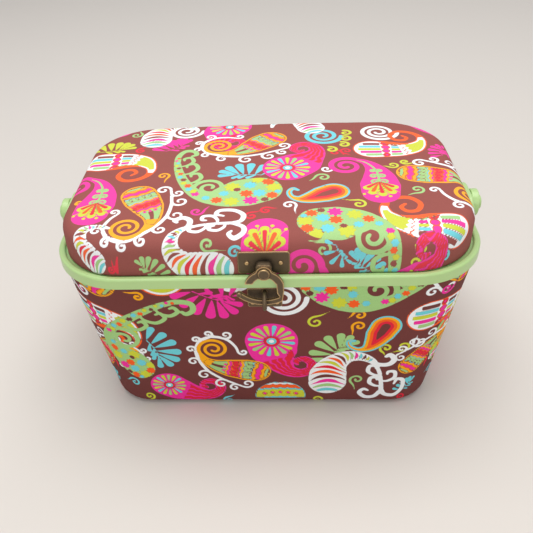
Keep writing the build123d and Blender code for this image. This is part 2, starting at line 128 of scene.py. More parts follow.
class Shader:
    """Builds one material's node tree."""

    def __init__(self, name: str) -> None:
        """Starts an empty material.

        Args:
            name: the material's name.
        """
        self.material = bpy.data.materials.new(name)
        self.material.use_nodes = True
        self.tree = self.material.node_tree
        self.tree.nodes.clear()

    def node(
        self, kind: str, settings: dict | None = None, inputs: dict | None = None, output: int | str = 0
    ) -> Socket:
        """Adds a node.

        Args:
            kind: the node's type.
            settings: properties that are set before the inputs.
            inputs: values or sockets by input name or number.
            output: which output to return.

        Returns:
            That output, wrapped.
        """
        made = self.tree.nodes.new(kind)
        for key, value in (settings or {}).items():
            setattr(made, key, value)
        for key, value in (inputs or {}).items():
            if isinstance(value, Socket):
                self.tree.links.new(value.link, made.inputs[key])
            elif isinstance(value, tuple) and made.inputs[key].type == "RGBA":
                made.inputs[key].default_value = (*value, 1.0)
            else:
                made.inputs[key].default_value = value
        return Socket(self, made.outputs[output])

    def place(self) -> Socket:
        """Returns the object coordinates."""
        return self.node("ShaderNodeTexCoord", output="Object")

    def noise(self, scale: float, detail: float = 2.0) -> Socket:
        """Adds a noise.

        Args:
            scale: its scale per metre.
            detail: its levels of detail.

        Returns:
            The noise value.
        """
        inputs = {"Vector": self.place(), "Scale": scale, "Detail": detail}
        return self.node("ShaderNodeTexNoise", inputs=inputs)

    def mix(self, factor: Socket, a: Socket | tuple, b: Socket | tuple) -> Socket:
        """Mixes two colours.

        Args:
            factor: 0 for the first colour, 1 for the second.
            a: the first colour.
            b: the second colour.

        Returns:
            The mixed colour.
        """
        made = self.node("ShaderNodeMix", {"data_type": "RGBA"}, {"Factor": factor}, output=2)
        ends = made.link.node.inputs[6:8]
        for end, value in zip(ends, (a, b)):
            if isinstance(value, Socket):
                self.tree.links.new(value.link, end)
            else:
                end.default_value = (*value, 1.0)
        return made

    def bump(self, height: Socket, strength: float, distance: float) -> Socket:
        """Bends the surface's normal by a height.

        Args:
            height: the height.
            strength: how strongly it bends.
            distance: what a height of 1 stands for, in metres.

        Returns:
            The normal.
        """
        inputs = {"Height": height, "Strength": strength, "Distance": distance}
        return self.node("ShaderNodeBump", inputs=inputs)

    def finish(self, **inputs: Socket | float | tuple) -> bpy.types.Material:
        """Ends the tree in one Principled BSDF.

        Args:
            **inputs: its inputs, with underscores for spaces.

        Returns:
            The material.
        """
        named = {key.replace("_", " "): value for key, value in inputs.items()}
        surface = self.node("ShaderNodeBsdfPrincipled", inputs=named)
        self.tree.links.new(surface.link, self.tree.nodes.new("ShaderNodeOutputMaterial").inputs["Surface"])
        return self.material


# ---------------------------------------------------------------- printing
class Ink(Enum):
    """The printing inks, each with its colour as printed."""

    PINK = (0.87, 0.030, 0.33)
    LIME = (0.60, 0.64, 0.045)
    LEAF = (0.36, 0.60, 0.22)
    AQUA = (0.16, 0.62, 0.68)
    ORANGE = (0.93, 0.115, 0.016)
    GOLD = (0.93, 0.40, 0.008)
    RED = (0.76, 0.018, 0.045)
    WHITE = (0.86, 0.88, 0.88)


GROUND = (0.160, 0.042, 0.037)
FAR = 4.0  # the furthest distance that is stored
BARE = (0.0, 400.0)  # a spot where nothing is printed
REPEAT = 214.0  # the body print's repeat round the box
LAYERS = ("print_a", "print_b", "print_c")


@dataclass
class Spine:
    """The middle line of a motif with its half-widths, in millimetres on the cloth."""

    points: np.ndarray
    widths: np.ndarray

    @classmethod
    def through(cls, places: list, widths: list, fine: int = 12) -> Spine:
        """Draws a smooth line through places.

        Args:
            places: the places it passes through.
            widths: its half-width at each.
            fine: how many pieces each span is drawn in.

        Returns:
            The line.
        """
        spots = np.array(places, float)
        ends = np.vstack([2 * spots[0] - spots[1], spots, 2 * spots[-1] - spots[-2]])
        t = np.linspace(0, 1, fine, endpoint=False)[:, None]
        runs = []
        for a, b, c, d in zip(ends, ends[1:], ends[2:], ends[3:]):
            squared, cubed = a - 2.5 * b + 2 * c - d / 2, 1.5 * b - 1.5 * c + (d - a) / 2
            runs.append(b + t * (c - a) / 2 + t**2 * squared + t**3 * cubed)
        points = np.vstack([*runs, spots[-1:]])
        return cls(points, np.interp(np.arange(len(points)) / fine, range(len(widths)), widths))

    @classmethod
    def coil(
        cls, start: tuple, heading: float, radius: float, turns: float, way: int, wide: float, tip: float
    ) -> Spine:
        """Winds a spiral from its outer end.

        Args:
            start: the outer end.
            heading: the direction there, in degrees.
            radius: the radius there.
            turns: number of turns to the inner end.
            way: 1 to turn left, -1 to turn right.
            wide: half-width at the outer end.
            tip: half-width at the inner end.

        Returns:
            The line.
        """
        count = int(26 * turns) + 6
        t = (np.arange(count) + 0.5) / count
        angle = math.radians(heading) + way * t * turns * 2 * math.pi
        length = radius * (1 - 0.84 * t) * turns * 2 * math.pi / count
        steps = np.stack([np.cos(angle), np.sin(angle)], 1) * length[:, None]
        points = np.vstack([[0, 0], np.cumsum(steps, 0)]) + np.array(start, float)
        return cls(points, np.linspace(wide, tip, count + 1))

    def coiled(self, radius: float, turns: float, way: int, tip: float) -> Spine:
        """Carries this line on into a spiral from its end.

        Args:
            radius: the radius where the spiral starts.
            turns: number of turns.
            way: 1 to turn left, -1 to turn right.
            tip: half-width at the inner end.

        Returns:
            The whole line.
        """
        step = self.points[-1] - self.points[-2]
        heading = math.degrees(math.atan2(step[1], step[0]))
        end = Spine.coil(self.points[-1], heading, radius, turns, way, self.widths[-1], tip)
        return Spine(np.vstack([self.points, end.points[1:]]), np.concatenate([self.widths, end.widths[1:]]))

    def at(self, t: float, side: float = 0.0) -> tuple[np.ndarray, float]:
        """Finds a place on the line.

        Args:
            t: share of the line.
            side: how far it is moved sideways, in millimetres.

        Returns:
            The place, and the heading there in degrees.
        """
        place = t * (len(self.points) - 1)
        i = int(min(place, len(self.points) - 2))
        step = self.points[i + 1] - self.points[i]
        along = step / np.linalg.norm(step)
        point = self.points[i] + step * (place - i) + side * np.array([-along[1], along[0]])
        return point, math.degrees(math.atan2(along[1], along[0]))

    def width(self, t: float) -> float:
        """Finds the half-width.

        Args:
            t: share of the line.

        Returns:
            The half-width there.
        """
        return float(np.interp(t, np.linspace(0, 1, len(self.widths)), self.widths))

    def near(self, spots: np.ndarray) -> tuple[np.ndarray, np.ndarray, np.ndarray]:
        """Measures spots against the line.

        Args:
            spots: points on the cloth.

        Returns:
            The distance to the edge (negative inside), the distance along the line, and the distance
            sideways from the middle as a share of the half-width.
        """
        a, b = self.points[:-1], self.points[1:]
        ab = b - a
        size = np.maximum((ab**2).sum(1), 1e-9)
        rel = spots[:, None, :] - a[None]
        share = (rel * ab[None]).sum(2) / size
        held = np.clip(share, 0, 1)
        gap = rel - held[..., None] * ab[None]
        wide = self.widths[:-1] + held * (self.widths[1:] - self.widths[:-1])
        edge = np.sqrt((gap**2).sum(2)) - wide
        best = edge.argmin(1)
        rows = np.arange(len(spots))
        lengths = np.sqrt(size)
        run = np.concatenate([[0], np.cumsum(lengths)[:-1]])
        free = share[rows, best]
        free = np.where((free < 0) & (best > 0), 0, free)
        free = np.where((free > 1) & (best < len(a) - 1), 1, free)
        reach = np.sqrt((gap**2).sum(2))
        weight = np.exp(-3.0 * (reach - reach.min(1)[:, None]))
        smooth = (weight * (run + held * lengths)).sum(1) / weight.sum(1)
        along = smooth + (free - held[rows, best]) * lengths[best]
        cross = ab[best, 0] * rel[rows, best, 1] - ab[best, 1] * rel[rows, best, 0]
        side = cross / lengths[best] / wide[rows, best]
        return edge[rows, best], along, side


class Cloth:
    """A printed cloth: spots on it, in millimetres, and the signed distance to each ink there."""

    def __init__(self, spots: np.ndarray) -> None:
        """Starts with bare ground.

        Args:
            spots: places on the cloth, in millimetres.
        """
        self.spots = spots
        self.far = {ink: np.full(len(spots), FAR) for ink in Ink}

    def around(self, low: np.ndarray, high: np.ndarray) -> np.ndarray:
        """Finds the spots in a rectangle or just outside it.

        Args:
            low: its lower corner.
            high: its upper corner.

        Returns:
            The numbers of those spots.
        """
        inside = (self.spots > low - 2.5) & (self.spots < high + 2.5)
        return np.nonzero(inside.all(1))[0]

    def paint(self, which: np.ndarray, edge: np.ndarray, ink: Ink | None) -> None:
        """Prints a shape over what is there.

        Args:
            which: the spots that edge is given for.
            edge: signed distance to the shape's edge, negative inside.
            ink: its ink, or None to let the ground show.
        """
        for other in Ink:
            self.far[other][which] = np.maximum(self.far[other][which], -edge)
        if ink is not None:
            self.far[ink][which] = np.minimum(self.far[ink][which], edge)

    def stroke(self, spine: Spine, ink: Ink | None) -> tuple:
        """Prints a line with its width.

        Args:
            spine: the line.
            ink: its ink, or None to let the ground show.

        Returns:
            The spots near it, with what Spine.near gives.
        """
        wide = spine.widths.max()
        which = self.around(spine.points.min(0) - wide, spine.points.max(0) + wide)
        edge, along, side = spine.near(self.spots[which])
        self.paint(which, edge, ink)
        return which, edge, along, side

    def disc(self, centre: tuple, radius: float, ink: Ink | None, petals: int = 0) -> None:
        """Prints a disc, or a star-shaped flower.

        Args:
            centre: its middle.
            radius: its radius.
            ink: its ink, or None to let the ground show.
            petals: number of petals, or 0 for a disc.
        """
        middle = np.array(centre, float)
        which = self.around(middle - radius, middle + radius)
        gap = self.spots[which] - middle
        rim, share = radius, 1.0
        if petals:
            angle = np.arctan2(gap[:, 1], gap[:, 0])
            rim, share = radius * (0.56 + 0.44 * np.abs(np.cos(petals * angle / 2)) ** 0.7), 0.85
        self.paint(which, (np.hypot(gap[:, 0], gap[:, 1]) - rim) * share, ink)


@dataclass
class Shape:
    """A motif's body that is printed already, and what is printed inside it."""

    cloth: Cloth
    spine: Spine
    which: np.ndarray
    edge: np.ndarray
    along: np.ndarray
    side: np.ndarray

    @classmethod
    def printed(cls, cloth: Cloth, spine: Spine, ink: Ink | None) -> "Shape":
        """Prints the body.

        Args:
            cloth: the cloth.
            spine: the body's middle line.
            ink: its ink.

        Returns:
            The printed body.
        """
        return cls(cloth, spine, *cloth.stroke(spine, ink))

    def inside(self, edge: np.ndarray, ink: Ink | None, margin: float = 0.9) -> None:
        """Prints a shape, kept inside the body.

        Args:
            edge: signed distance to the shape's edge.
            ink: its ink, or None to let the ground show.
            margin: how far it stays from the body's edge.
        """
        self.cloth.paint(self.which, np.maximum(edge, self.edge + margin), ink)

    def band(self, low: float, high: float, ink: Ink | None, bend: float = 0.0, wave: float = 0.0,
             margin: float = 1.0, sharp: float = 0.0) -> None:
        """Prints a band across the body.

        Args:
            low: where it starts along the middle line.
            high: where it ends.
            ink: its ink.
            bend: how far its ends lag behind its middle.
            wave: height of the waves along its edges.
            margin: how far it stays from the body's edge.
            sharp: 1 for a band that narrows to points at the body's sides.
        """
        here = self.along + bend * self.side**2 + wave * np.sin(self.side * 11)
        half = (high - low) / 2 * (1 - sharp * self.side**2)
        self.inside(np.abs(here - (low + high) / 2) - half, ink, margin)

    def line(self, spine: Spine, ink: Ink | None, margin: float = 0.8) -> None:
        """Prints a line, kept inside the body.

        Args:
            spine: the line.
            ink: its ink.
            margin: how far it stays from the body's edge.
        """
        self.inside(spine.near(self.cloth.spots[self.which])[0], ink, margin)


@dataclass
class Press:
    """Prints motifs, each drawn in its own millimetres, at a place on the cloth."""

    cloth: Cloth
    x: float = 0.0
    y: float = 0.0
    turn: float = 0.0
    flip: bool = False
    size: float = 1.0

    def at(self, x: float, y: float, turn: float = 0.0, flip: bool = False, size: float = 1.0) -> Press:
        """Moves the press for one motif.

        Args:
            x: how far to the right.
            y: how far up.
            turn: how far the motif is turned, in degrees.
            flip: whether it is mirrored.
            size: its scale.

        Returns:
            The moved press.
        """
        return Press(self.cloth, self.x + x, self.y + y, turn, flip, size)

    def put(self, places: list) -> np.ndarray:
        """Places a motif's points.

        Args:
            places: points on the motif's own scale.

        Returns:
            The points on the cloth.
        """
        spots = np.atleast_2d(np.array(places, float)) * self.size
        if self.flip:
            spots = spots * (1, -1)
        c, s = math.cos(math.radians(self.turn)), math.sin(math.radians(self.turn))
        return spots @ np.array([[c, s], [-s, c]]) + (self.x, self.y)

    def spine(self, line: Spine) -> Spine:
        """Places a motif's line.

        Args:
            line: the line on the motif's own scale.

        Returns:
            The line on the cloth.
        """
        return Spine(self.put(line.points), line.widths * self.size)

    def through(self, places: list, widths: list) -> Spine:
        """Draws a smooth line.

        Args:
            places: the places it passes through.
            widths: its half-width at each.

        Returns:
            The line on the cloth.
        """
        return self.spine(Spine.through(places, widths))

    def stroke(self, places: list, widths: list, ink: Ink | None) -> None:
        """Prints a smooth line.

        Args:
            places: the places it passes through.
            widths: its half-width at each.
            ink: its ink.
        """
        self.cloth.stroke(self.through(places, widths), ink)

    def dot(self, x: float, y: float, radius: float, ink: Ink | None, petals: int = 0) -> None:
        """Prints a dot or a small flower.

        Args:
            x: its middle.
            y: its middle.
            radius: its radius.
            ink: its ink.
            petals: number of petals, or 0 for a dot.
        """
        self.cloth.disc(self.put((x, y))[0], radius * self.size, ink, petals)

    def coil(self, start: tuple, heading: float, radius: float, turns: float, way: int, ink: Ink,
             wide: float = 1.6, tip: float = 1.1) -> None:
        """Prints a spiral from its outer end.

        Args:
            start: the outer end.
            heading: the direction there, in degrees.
            radius: the radius there.
            turns: number of turns.
            way: 1 to turn left, -1 to turn right.
            ink: its ink.
            wide: half-width at the outer end.
            tip: half-width at the inner end.
        """
        self.cloth.stroke(self.spine(Spine.coil(start, heading, radius, turns, way, wide, tip)), ink)

    def comma(self, x: float, y: float, radius: float, ink: Ink, heading: float, way: int = 1,
              tail: float = 7.0) -> None:
        """Prints a small spiral with a tail.

        Args:
            x: the spiral's middle.
            y: the spiral's middle.
            radius: its radius.
            ink: its ink.
            heading: the direction in which the tail reaches the spiral.
            way: 1 to turn left, -1 to turn right.
            tail: length of the tail.
        """
        a = math.radians(heading)
        out = np.array([math.sin(a), -math.cos(a)]) * radius * way
        near = np.array([x, y]) + out
        along = np.array([math.cos(a), math.sin(a)])
        start = near - along * tail + out * 0.12 * tail / radius
        middle = near - along * tail * 0.45 - out * 0.02
        line = Spine.through([start, middle, near], [0.2, 0.6, 0.85]).coiled(radius, 1.2, way, 0.65)
        self.cloth.stroke(self.spine(line), ink)
        end = self.put(line.points[-1])[0]
        self.cloth.disc(end, 0.95 * self.size, ink)

    def hook(self, x: float, y: float, turn: float, way: int, size: float, ink: Ink,
             wide: float = 1.0) -> None:
        """Prints a fat hook that grows sideways from a stem.

        Args:
            x: its root.
            y: its root.
            turn: the direction of the stem, in degrees from straight up.
            way: 1 to grow to the right, -1 to the left.
            size: its scale.
            ink: its ink.
            wide: scale of its width.
        """
        c, s = math.cos(math.radians(turn)), math.sin(math.radians(turn))
        shape = np.array([(0, -1.5), (4.5, -1.2), (8.6, 2.5), (8.0, 8.0), (4.2, 8.2), (3.6, 5.6)])
        widths = [share * wide for share in (0.9, 1.6, 2.0, 2.0, 1.8, 1.1)]
        self.stroke(shape * (way * size, size) @ np.array([[c, s], [-s, c]]) + (x, y), widths, ink)

    def spray(self, root: tuple, heading: float, size: float, bend: float, ink: Ink, way: int = 1,
              leaves: int = 7) -> None:
        """Prints a curved stem with a fan of drop-shaped leaves on one side and small ones on the other.

        Args:
            root: where it starts.
            heading: the direction there, in degrees.
            size: length of the stem.
            bend: how far the stem turns, in degrees.
            ink: its ink.
            way: the side of the fan: 1 left, -1 right.
            leaves: number of leaves in the fan.
        """
        radius = size * 57.3 / max(abs(bend), 1)
        sense = 1 if bend > 0 else -1
        stem = self.spine(Spine.coil(root, heading, radius, abs(bend) / 360, sense, 0.4, 0.25))
        self.cloth.stroke(stem, ink)
        side = -way if self.flip else way
        for i in range(leaves):
            share = i / (leaves - 1)
            point, angle = stem.at(share)
            turn = angle + side * 128 * (1 - share) ** 0.8
            length = size * self.size * (0.36 + 0.18 * math.sin(math.pi * (0.15 + 0.8 * share)))
            out = np.array([math.cos(math.radians(turn)), math.sin(math.radians(turn))])
            self.leaf(point + 0.6 * out, turn, length, length * 0.19, ink)
        for i in range(3):
            point, angle = stem.at(0.12 + 0.24 * i)
            self.leaf(point, angle - side * 38, size * self.size * 0.28, size * self.size * 0.05, ink)

    def leaf(self, root: tuple, heading: float, length: float, wide: float, ink: Ink | None,
             into: Shape | None = None) -> None:
        """Prints a leaf or petal that widens from its root to a round end.

        Args:
            root: where it starts.
            heading: its direction, in degrees.
            length: its length.
            wide: half-width of its round end.
            ink: its ink.
            into: the body that it is kept inside, if any.
        """
        a = math.radians(heading)
        reach = np.array([math.cos(a), math.sin(a)]) * (length - wide)
        line = Spine.through([root, root + reach * 0.5, root + reach], [0.2, wide * 0.62, wide], 5)
        if into is None:
            self.cloth.stroke(line, ink)
        else:
            into.line(line, ink)

    def frill(self, line: Spine, curls: tuple, ink: Ink = Ink.WHITE) -> None:
        """Prints a line with curls on its left side, and curls at both ends.

        Args:
            line: the line, on the motif's own scale.
            curls: the share of the line at which each curl starts, with its radius.
            ink: its ink.
        """
        self.cloth.stroke(self.spine(line), ink)
        for share, radius in curls:
            point, angle = line.at(share)
            self.coil(point, angle + 4, radius * 1.08, 1.2, 1, ink, 1.0, 0.6)
        point, angle = line.at(1.0)
        self.coil(point, angle, 3.3, 1.1, 1, ink, 0.9, 0.65)
        point, angle = line.at(0.0)
        self.coil(point, angle + 180, 4.8, 1.2, 1, ink, 1.0, 0.7)

    def flowered(self, slim: float = 1.0) -> None:
        """Prints a green motif strewn with flowers, with hooks along its tail.

        Args:
            slim: scale of its head's width.
        """
        line = Spine.through(
            [(3, 1), (-5, -2), (-14, -6), (-22, -9), (-31, -6.5), (-39, 2), (-45.5, 15), (-50, 29),
             (-52.5, 42),
             (-52.5, 53), (-48.5, 60), (-42.5, 59), (-40.5, 54), (-43, 52)],
            [w * slim for w in (15.5, 16.5, 13, 7.6, 5.2, 4.3)] + [3.7, 3.0, 2.4, 2.1, 2.0, 1.9, 1.7, 1.3],
        )
        for x, y, size in ((-48, 24, 1.35), (-50.5, 36, 1.15), (-43.5, 11, 1.2)):
            self.hook(x, y + 2, 14, 1, size, Ink.LEAF, 0.75)
        self.coil((-38, 3), 96, 10.5, 1.65, -1, Ink.LEAF, 1.7, 1.1)
        shape = Shape.printed(self.cloth, self.spine(line), Ink.LEAF)
        inks = {"L": Ink.LIME, "O": Ink.ORANGE, "A": Ink.AQUA, "P": Ink.PINK, "G": None}
        flowers = (
            (-13, 5, 5.6, "L"), (-13, -13, 5.2, "L"), (13, 4, 5.4, "L"), (3, 14, 4.6, "L"), (-2, 7, 4.4, "A"),
            (4, -3, 4.6, "A"), (-4, -3.5, 4.4, "O"), (-1, -12, 5.0, "P"), (9.5, 11, 4.2, "O"),
            (12, -6, 4.0, "O"),
            (-22, -11, 3.9, "O"), (-10, 1.5, 2.5, "G"), (7.5, -11, 2.7, "G"), (-18, -3, 3.4, "A"),
            (-29, -8, 2.8, "A"),
            (15.5, -1.5, 2.3, "A"),
        )
        for x, y, radius, key in flowers:
            centre = self.put((x * (0.3 + 0.7 * slim), y * slim))[0]
            gap = self.cloth.spots[shape.which] - centre
            angle = np.arctan2(gap[:, 1], gap[:, 0])
            rim = radius * self.size * (0.25 + 0.75 * slim) * (0.56 + 0.44 * np.abs(np.cos(4 * angle)) ** 0.7)
            shape.inside((np.hypot(gap[:, 0], gap[:, 1]) - rim) * 0.85, inks[key], 0.2)
        for i, key in enumerate("PLAOLGAOLGLAPO"):
            centre, _ = shape.spine.at(0.35 + 0.024 * i, 0.6 * (-1) ** i)
            self.cloth.disc(centre, max(1.1, 0.62 * shape.spine.width(0.35 + 0.024 * i)), inks[key], 6)

    def shell(self, leafy: bool = True) -> None:
        """Prints a white motif with coloured crescents.

        Args:
            leafy: whether its tail ends in a branch of hooks.
        """
        if leafy:
            self.stroke([(26, 24), (33, 13), (36, 0), (37, -10)], [1.3, 1.4, 1.4, 1.8], Ink.WHITE)
            self.stroke([(24, 25), (32, 19), (39, 19), (42, 24), (39, 28.5), (36.5, 27)],
                        [2.2, 1.8, 2, 2, 1.9, 1.2], Ink.WHITE)
            self.hook(35, 9, 0, -1, 1.0, Ink.WHITE, 0.72)
            self.hook(36.5, -3, 0, -1, 0.95, Ink.WHITE, 0.72)
            self.hook(35.5, 2.5, 0, 1, 1.05, Ink.WHITE, 0.72)
            self.stroke([(37, -9), (33, -16), (27, -17), (22.5, -12), (25, -8), (28, -9.5)],
                        [1.7, 1.7, 1.7, 1.6, 1.4, 0.9], Ink.WHITE)
            self.stroke(
                [(37, -9), (40, -14), (47, -14.5), (52, -8), (51.5, 1), (47, 3), (45, -2)],
                [1.7, 1.7, 1.8, 1.8, 1.7, 1.5, 0.9], Ink.WHITE,
            )
        line = self.through(
            [(0, 0), (0, 9), (3, 19), (11, 26.5), (20, 27), (28, 22.5), (32, 16)],
            [12.8, 12.4, 9.2, 6, 4, 2.6, 1.6]
        )
        shape = Shape.printed(self.cloth, line, Ink.WHITE)
        inks = (Ink.AQUA, Ink.LEAF, Ink.PINK, None, Ink.ORANGE, Ink.RED, Ink.LIME, Ink.ORANGE, None, Ink.LIME,
                Ink.LEAF, Ink.PINK, Ink.AQUA, None, Ink.LIME, Ink.AQUA)
        place = -9.6 * self.size
        for ink in inks:
            share = float(np.clip(place / (60 * self.size), 0, 1))
            wide = line.width(share)
            pitch = (1.6 + 0.26 * wide) * self.size**0.2
            shape.band(place, place + pitch * 0.66, ink, wide * 0.42, 0, 0.8, 1.0)
            place += pitch

    def banded(self) -> None:
        """Prints a gold drop with wavy bands, a coiled tail and a white frill."""
        frill = Spine.through(
            [(19, 6), (20.5, -3), (21.5, -14), (20, -26), (14.5, -37), (6, -45.5), (-4, -48.5),
             (-12.5, -45), (-16.5, -36),
             (-14.5, -27), (-10.5, -21)], [0.9, 1.0, 1.1, 1.2, 1.3, 1.5, 1.5, 1.3, 1.2, 1.0, 0.9],
        )
        self.frill(frill, ((0.06, 3.7), (0.16, 4.8), (0.28, 4.8), (0.4, 4.0), (0.5, 3.4), (0.59, 3.1),
                           (0.68, 3.1), (0.78, 3.7)))
        line = Spine.through([(-1, 1), (2, -5), (7, -14), (11, -24), (11.5, -33), (7.5, -41)],
                             [11.6, 11.8, 10, 6.4, 3.7, 1.35])
        shape = Shape.printed(self.cloth, self.spine(line.coiled(10.8, 2.0, -1, 0.95)), Ink.GOLD)
        scale = self.size
        depth = shape.edge + 1.05 * scale
        body = np.maximum(depth, shape.along - 38 * scale)
        self.cloth.paint(shape.which, body, None)
        self.cloth.paint(shape.which, body + 0.55, Ink.GOLD)
        place = -9.4
        bands = (
            (0.5, None, 3), (1.9, Ink.LEAF, 3), (0.5, None, 3), (1.7, Ink.GOLD, 2), (1.0, Ink.ORANGE, 2),
            (3.1, Ink.PINK, 1),
            (1.0, Ink.ORANGE, 1), (1.7, Ink.GOLD, 0), (0.9, Ink.AQUA, 0), (5.0, Ink.LEAF, 0),
            (0.9, Ink.AQUA, 0),
            (1.7, Ink.GOLD, 0), (1.3, Ink.PINK, 0), (0.8, Ink.ORANGE, 0), (4.2, Ink.RED, 0),
            (1.0, Ink.ORANGE, 0),
            (1.9, Ink.PINK, 0), (1.4, Ink.GOLD, 0), (11, Ink.LEAF, 0),
        )
        for breadth, ink, bend in bands:
            wave = 0.0 if bend == 3 else 0.55 * scale
            shape.band(place * scale, (place + breadth) * scale, ink, bend * scale, wave, 1.7 * scale)
            if breadth > 4 and breadth < 6:
                for lane in (-0.72, -0.36, 0.0, 0.36, 0.72):
                    here = np.hypot((shape.side - lane) * 9, shape.along / scale - place - 1.2)
                    shape.inside(np.abs(here - 2.3) - 0.2, None if ink is Ink.LEAF else Ink.ORANGE,
                                 2.0 * scale)
            place += breadth
        tail = np.maximum((np.abs(shape.side) - 0.2) * 5, (place - 9) - shape.along / scale)
        shape.inside(np.maximum(tail, shape.along / scale - place), None, 1.2)
        for lane in (-0.4, 0.0, 0.4):
            here = np.hypot((shape.side - lane) * 6, (shape.along / scale - place + 9.6) * 0.6)
            shape.inside(here - 0.75, Ink.PINK, 1.9 * scale)

    def vine(self, coil: bool = True) -> None:
        """Prints a pink motif with a bell flower in its head and a green vine along its tail.

        Args:
            coil: whether its tail ends in a spiral.
        """
        line = Spine.through(
            [(0, -2), (1.3, 8), (2.5, 19), (1.5, 30), (-2.5, 39), (-9, 44)], [11.6, 12.4, 10.0, 6.4, 3.6, 2.0]
        )
        shape = Shape.printed(self.cloth, self.spine(line.coiled(11.6, 1.75, 1, 1.3) if coil else line),
                              Ink.PINK)
        stem = self.through([(1, 11), (2, 20), (1.2, 30), (-3, 39), (-9, 43.6)], [0.9, 0.75, 0.7, 0.6, 0.3])
        shape.line(stem, Ink.LEAF)
        for height, radius in ((13.5, 3.0), (21, 2.7), (28, 2.1)):
            for way in (-1, 1):
                curl = Spine.coil((1.6, height), 90 - way * 30, radius, 1.1, -way, 0.75, 0.8)
                shape.line(self.spine(curl), Ink.LEAF, 0.6)
        root = self.put((1, 12))[0]
        down = math.degrees(math.atan2(*(self.put((1, 0))[0] - root)[::-1]))
        scale = self.size
        for k in (-2, 2, -1, 1, 0):
            length = (13.5, 17, 18)[2 - abs(k)] * scale
            self.leaf(root, down + 25 * k, length, 2.5 * scale, Ink.LIME, shape)
            self.leaf(root, down + 25 * k, length * 0.8, 1.25 * scale,
                      Ink.RED if k % 2 == 0 else Ink.ORANGE, shape)
        for k in (-1.5, -0.5, 0.5, 1.5):
            a = math.radians(down + 25 * k)
            tip = root + np.array([math.cos(a), math.sin(a)]) * 18.6 * scale
            shape.line(Spine(np.array([root + (tip - root) * 0.55, tip]), np.array([0.25, 0.25])), Ink.LIME,
                       0.4)
            shape.line(Spine(np.array([tip, tip + 0.01]), np.array([1.15, 1.15]) * scale), Ink.LIME, 0.4)

    def daisy(self, slim: float = 1.0) -> None:
        """Prints a pink motif with a wheel of petals in its head and red veins in its curled tail.

        Args:
            slim: scale of its head's width.
        """
        line = self.through(
            [(0, 0), (7, 5), (14.5, 13), (20, 23), (18.5, 32), (12, 36), (6, 33), (4.5, 27), (8, 23.5),
             (11, 25.5)],
            [16.5 * slim, 15.3 * slim, 9.8, 5.8, 4.4, 3.7, 3.2, 2.8, 2.4, 1.7],
        )
        shape = Shape.printed(self.cloth, line, Ink.PINK)
        wide = 16.5 * slim * self.size
        for lane in (-0.62, -0.2, 0.2, 0.62):
            here = np.abs(shape.side - lane + 0.05 * np.sin(shape.along)) * 4.2 - 0.55
            shape.inside(np.maximum(here, wide * 1.08 - shape.along), Ink.RED, 0.5)
        inks = (Ink.LIME, Ink.AQUA, Ink.LIME, Ink.LEAF)
        centre = line.points[0]
        self.cloth.disc(centre, wide * 0.3, Ink.RED)
        for k in range(16):
            a = math.radians(22.5 * k + self.turn)
            out = np.array([math.cos(a), math.sin(a)])
            self.leaf(centre + out * wide * 0.3, math.degrees(a), wide * 0.6, wide * 0.088, inks[k % 4],
                      shape)
        for share, ink in ((0.25, Ink.RED), (0.19, Ink.AQUA), (0.1, Ink.WHITE)):
            self.cloth.disc(centre, wide * share, ink)

    def flame(self) -> None:
        """Prints a drop of nested colours with an aqua hook."""
        line = self.through(
            [(0, 0), (-6, -3), (-14, -7), (-21, -8.5), (-26, -5.5), (-27.5, 0.5), (-25, 4.5), (-22, 2.5)],
            [9.8, 9.4, 6.6, 3.6, 2.1, 1.8, 1.6, 1.1],
        )
        shape = Shape.printed(self.cloth, line, Ink.AQUA)
        for depth, ink in ((1.25, Ink.GOLD), (3.0, Ink.ORANGE), (5.0, Ink.RED), (7.0, None)):
            self.cloth.paint(shape.which, shape.edge + depth * self.size, ink)

    def fan(self) -> None:
        """Prints a white motif edged in orange, with stripes in its head, a lime tail and a coil."""
        line = self.through(
            [(0, 0), (10, 0), (20, 0.5), (31, -2.5), (38, -11), (39.5, -20), (36.5, -27), (30, -31.5),
             (22, -31.5),
             (16.5, -25), (19, -17), (25.5, -15.5), (29, -20), (26, -24)],
            [14.5, 13.6, 11.6, 8.6, 4.8, 3.0, 2.1, 1.9, 1.9, 1.8, 1.7, 1.6, 1.4, 1.1],
        )
        shape = Shape.printed(self.cloth, line, Ink.ORANGE)
        scale = self.size
        x = shape.along / scale
        self.cloth.paint(shape.which, np.maximum(shape.edge + 0.85, (x - 53) * 0.5), Ink.WHITE)
        stripes = ((-0.66, Ink.LEAF), (-0.34, Ink.PINK), (-0.02, Ink.LIME), (0.3, Ink.AQUA), (0.62, None))
        for low, high, reach in ((-10.5, 6.5, 2.5), (14.5, 21, 0.0)):
            for lane, ink in stripes:
                cut = np.maximum(x - high, low + reach * (lane * 2.2) ** 2 - x)
                shape.inside(np.maximum((np.abs(shape.side - lane) - 0.125) * 13, cut), ink, 2.0)
        for lane in (-0.72, -0.24, 0.24, 0.72):
            here = np.hypot((shape.side - lane) * 12.4, x - 10.4)
            for radius, ink in ((3.2, Ink.ORANGE), (2.5, Ink.PINK if lane * lane < 0.1 else Ink.RED),
                                (1.2, Ink.PINK)):
                shape.inside(here - radius, ink, 1.0)
        zigzag = np.abs(x - 24.2 + 0.9 * np.sin(shape.side * 15)) - 0.5
        shape.inside(zigzag, Ink.ORANGE, 0.9)
        lime = np.maximum(27.5 - x + 0.9 * np.sin(shape.side * 13), x - 48)
        shape.inside(lime, Ink.LIME, 2.1)

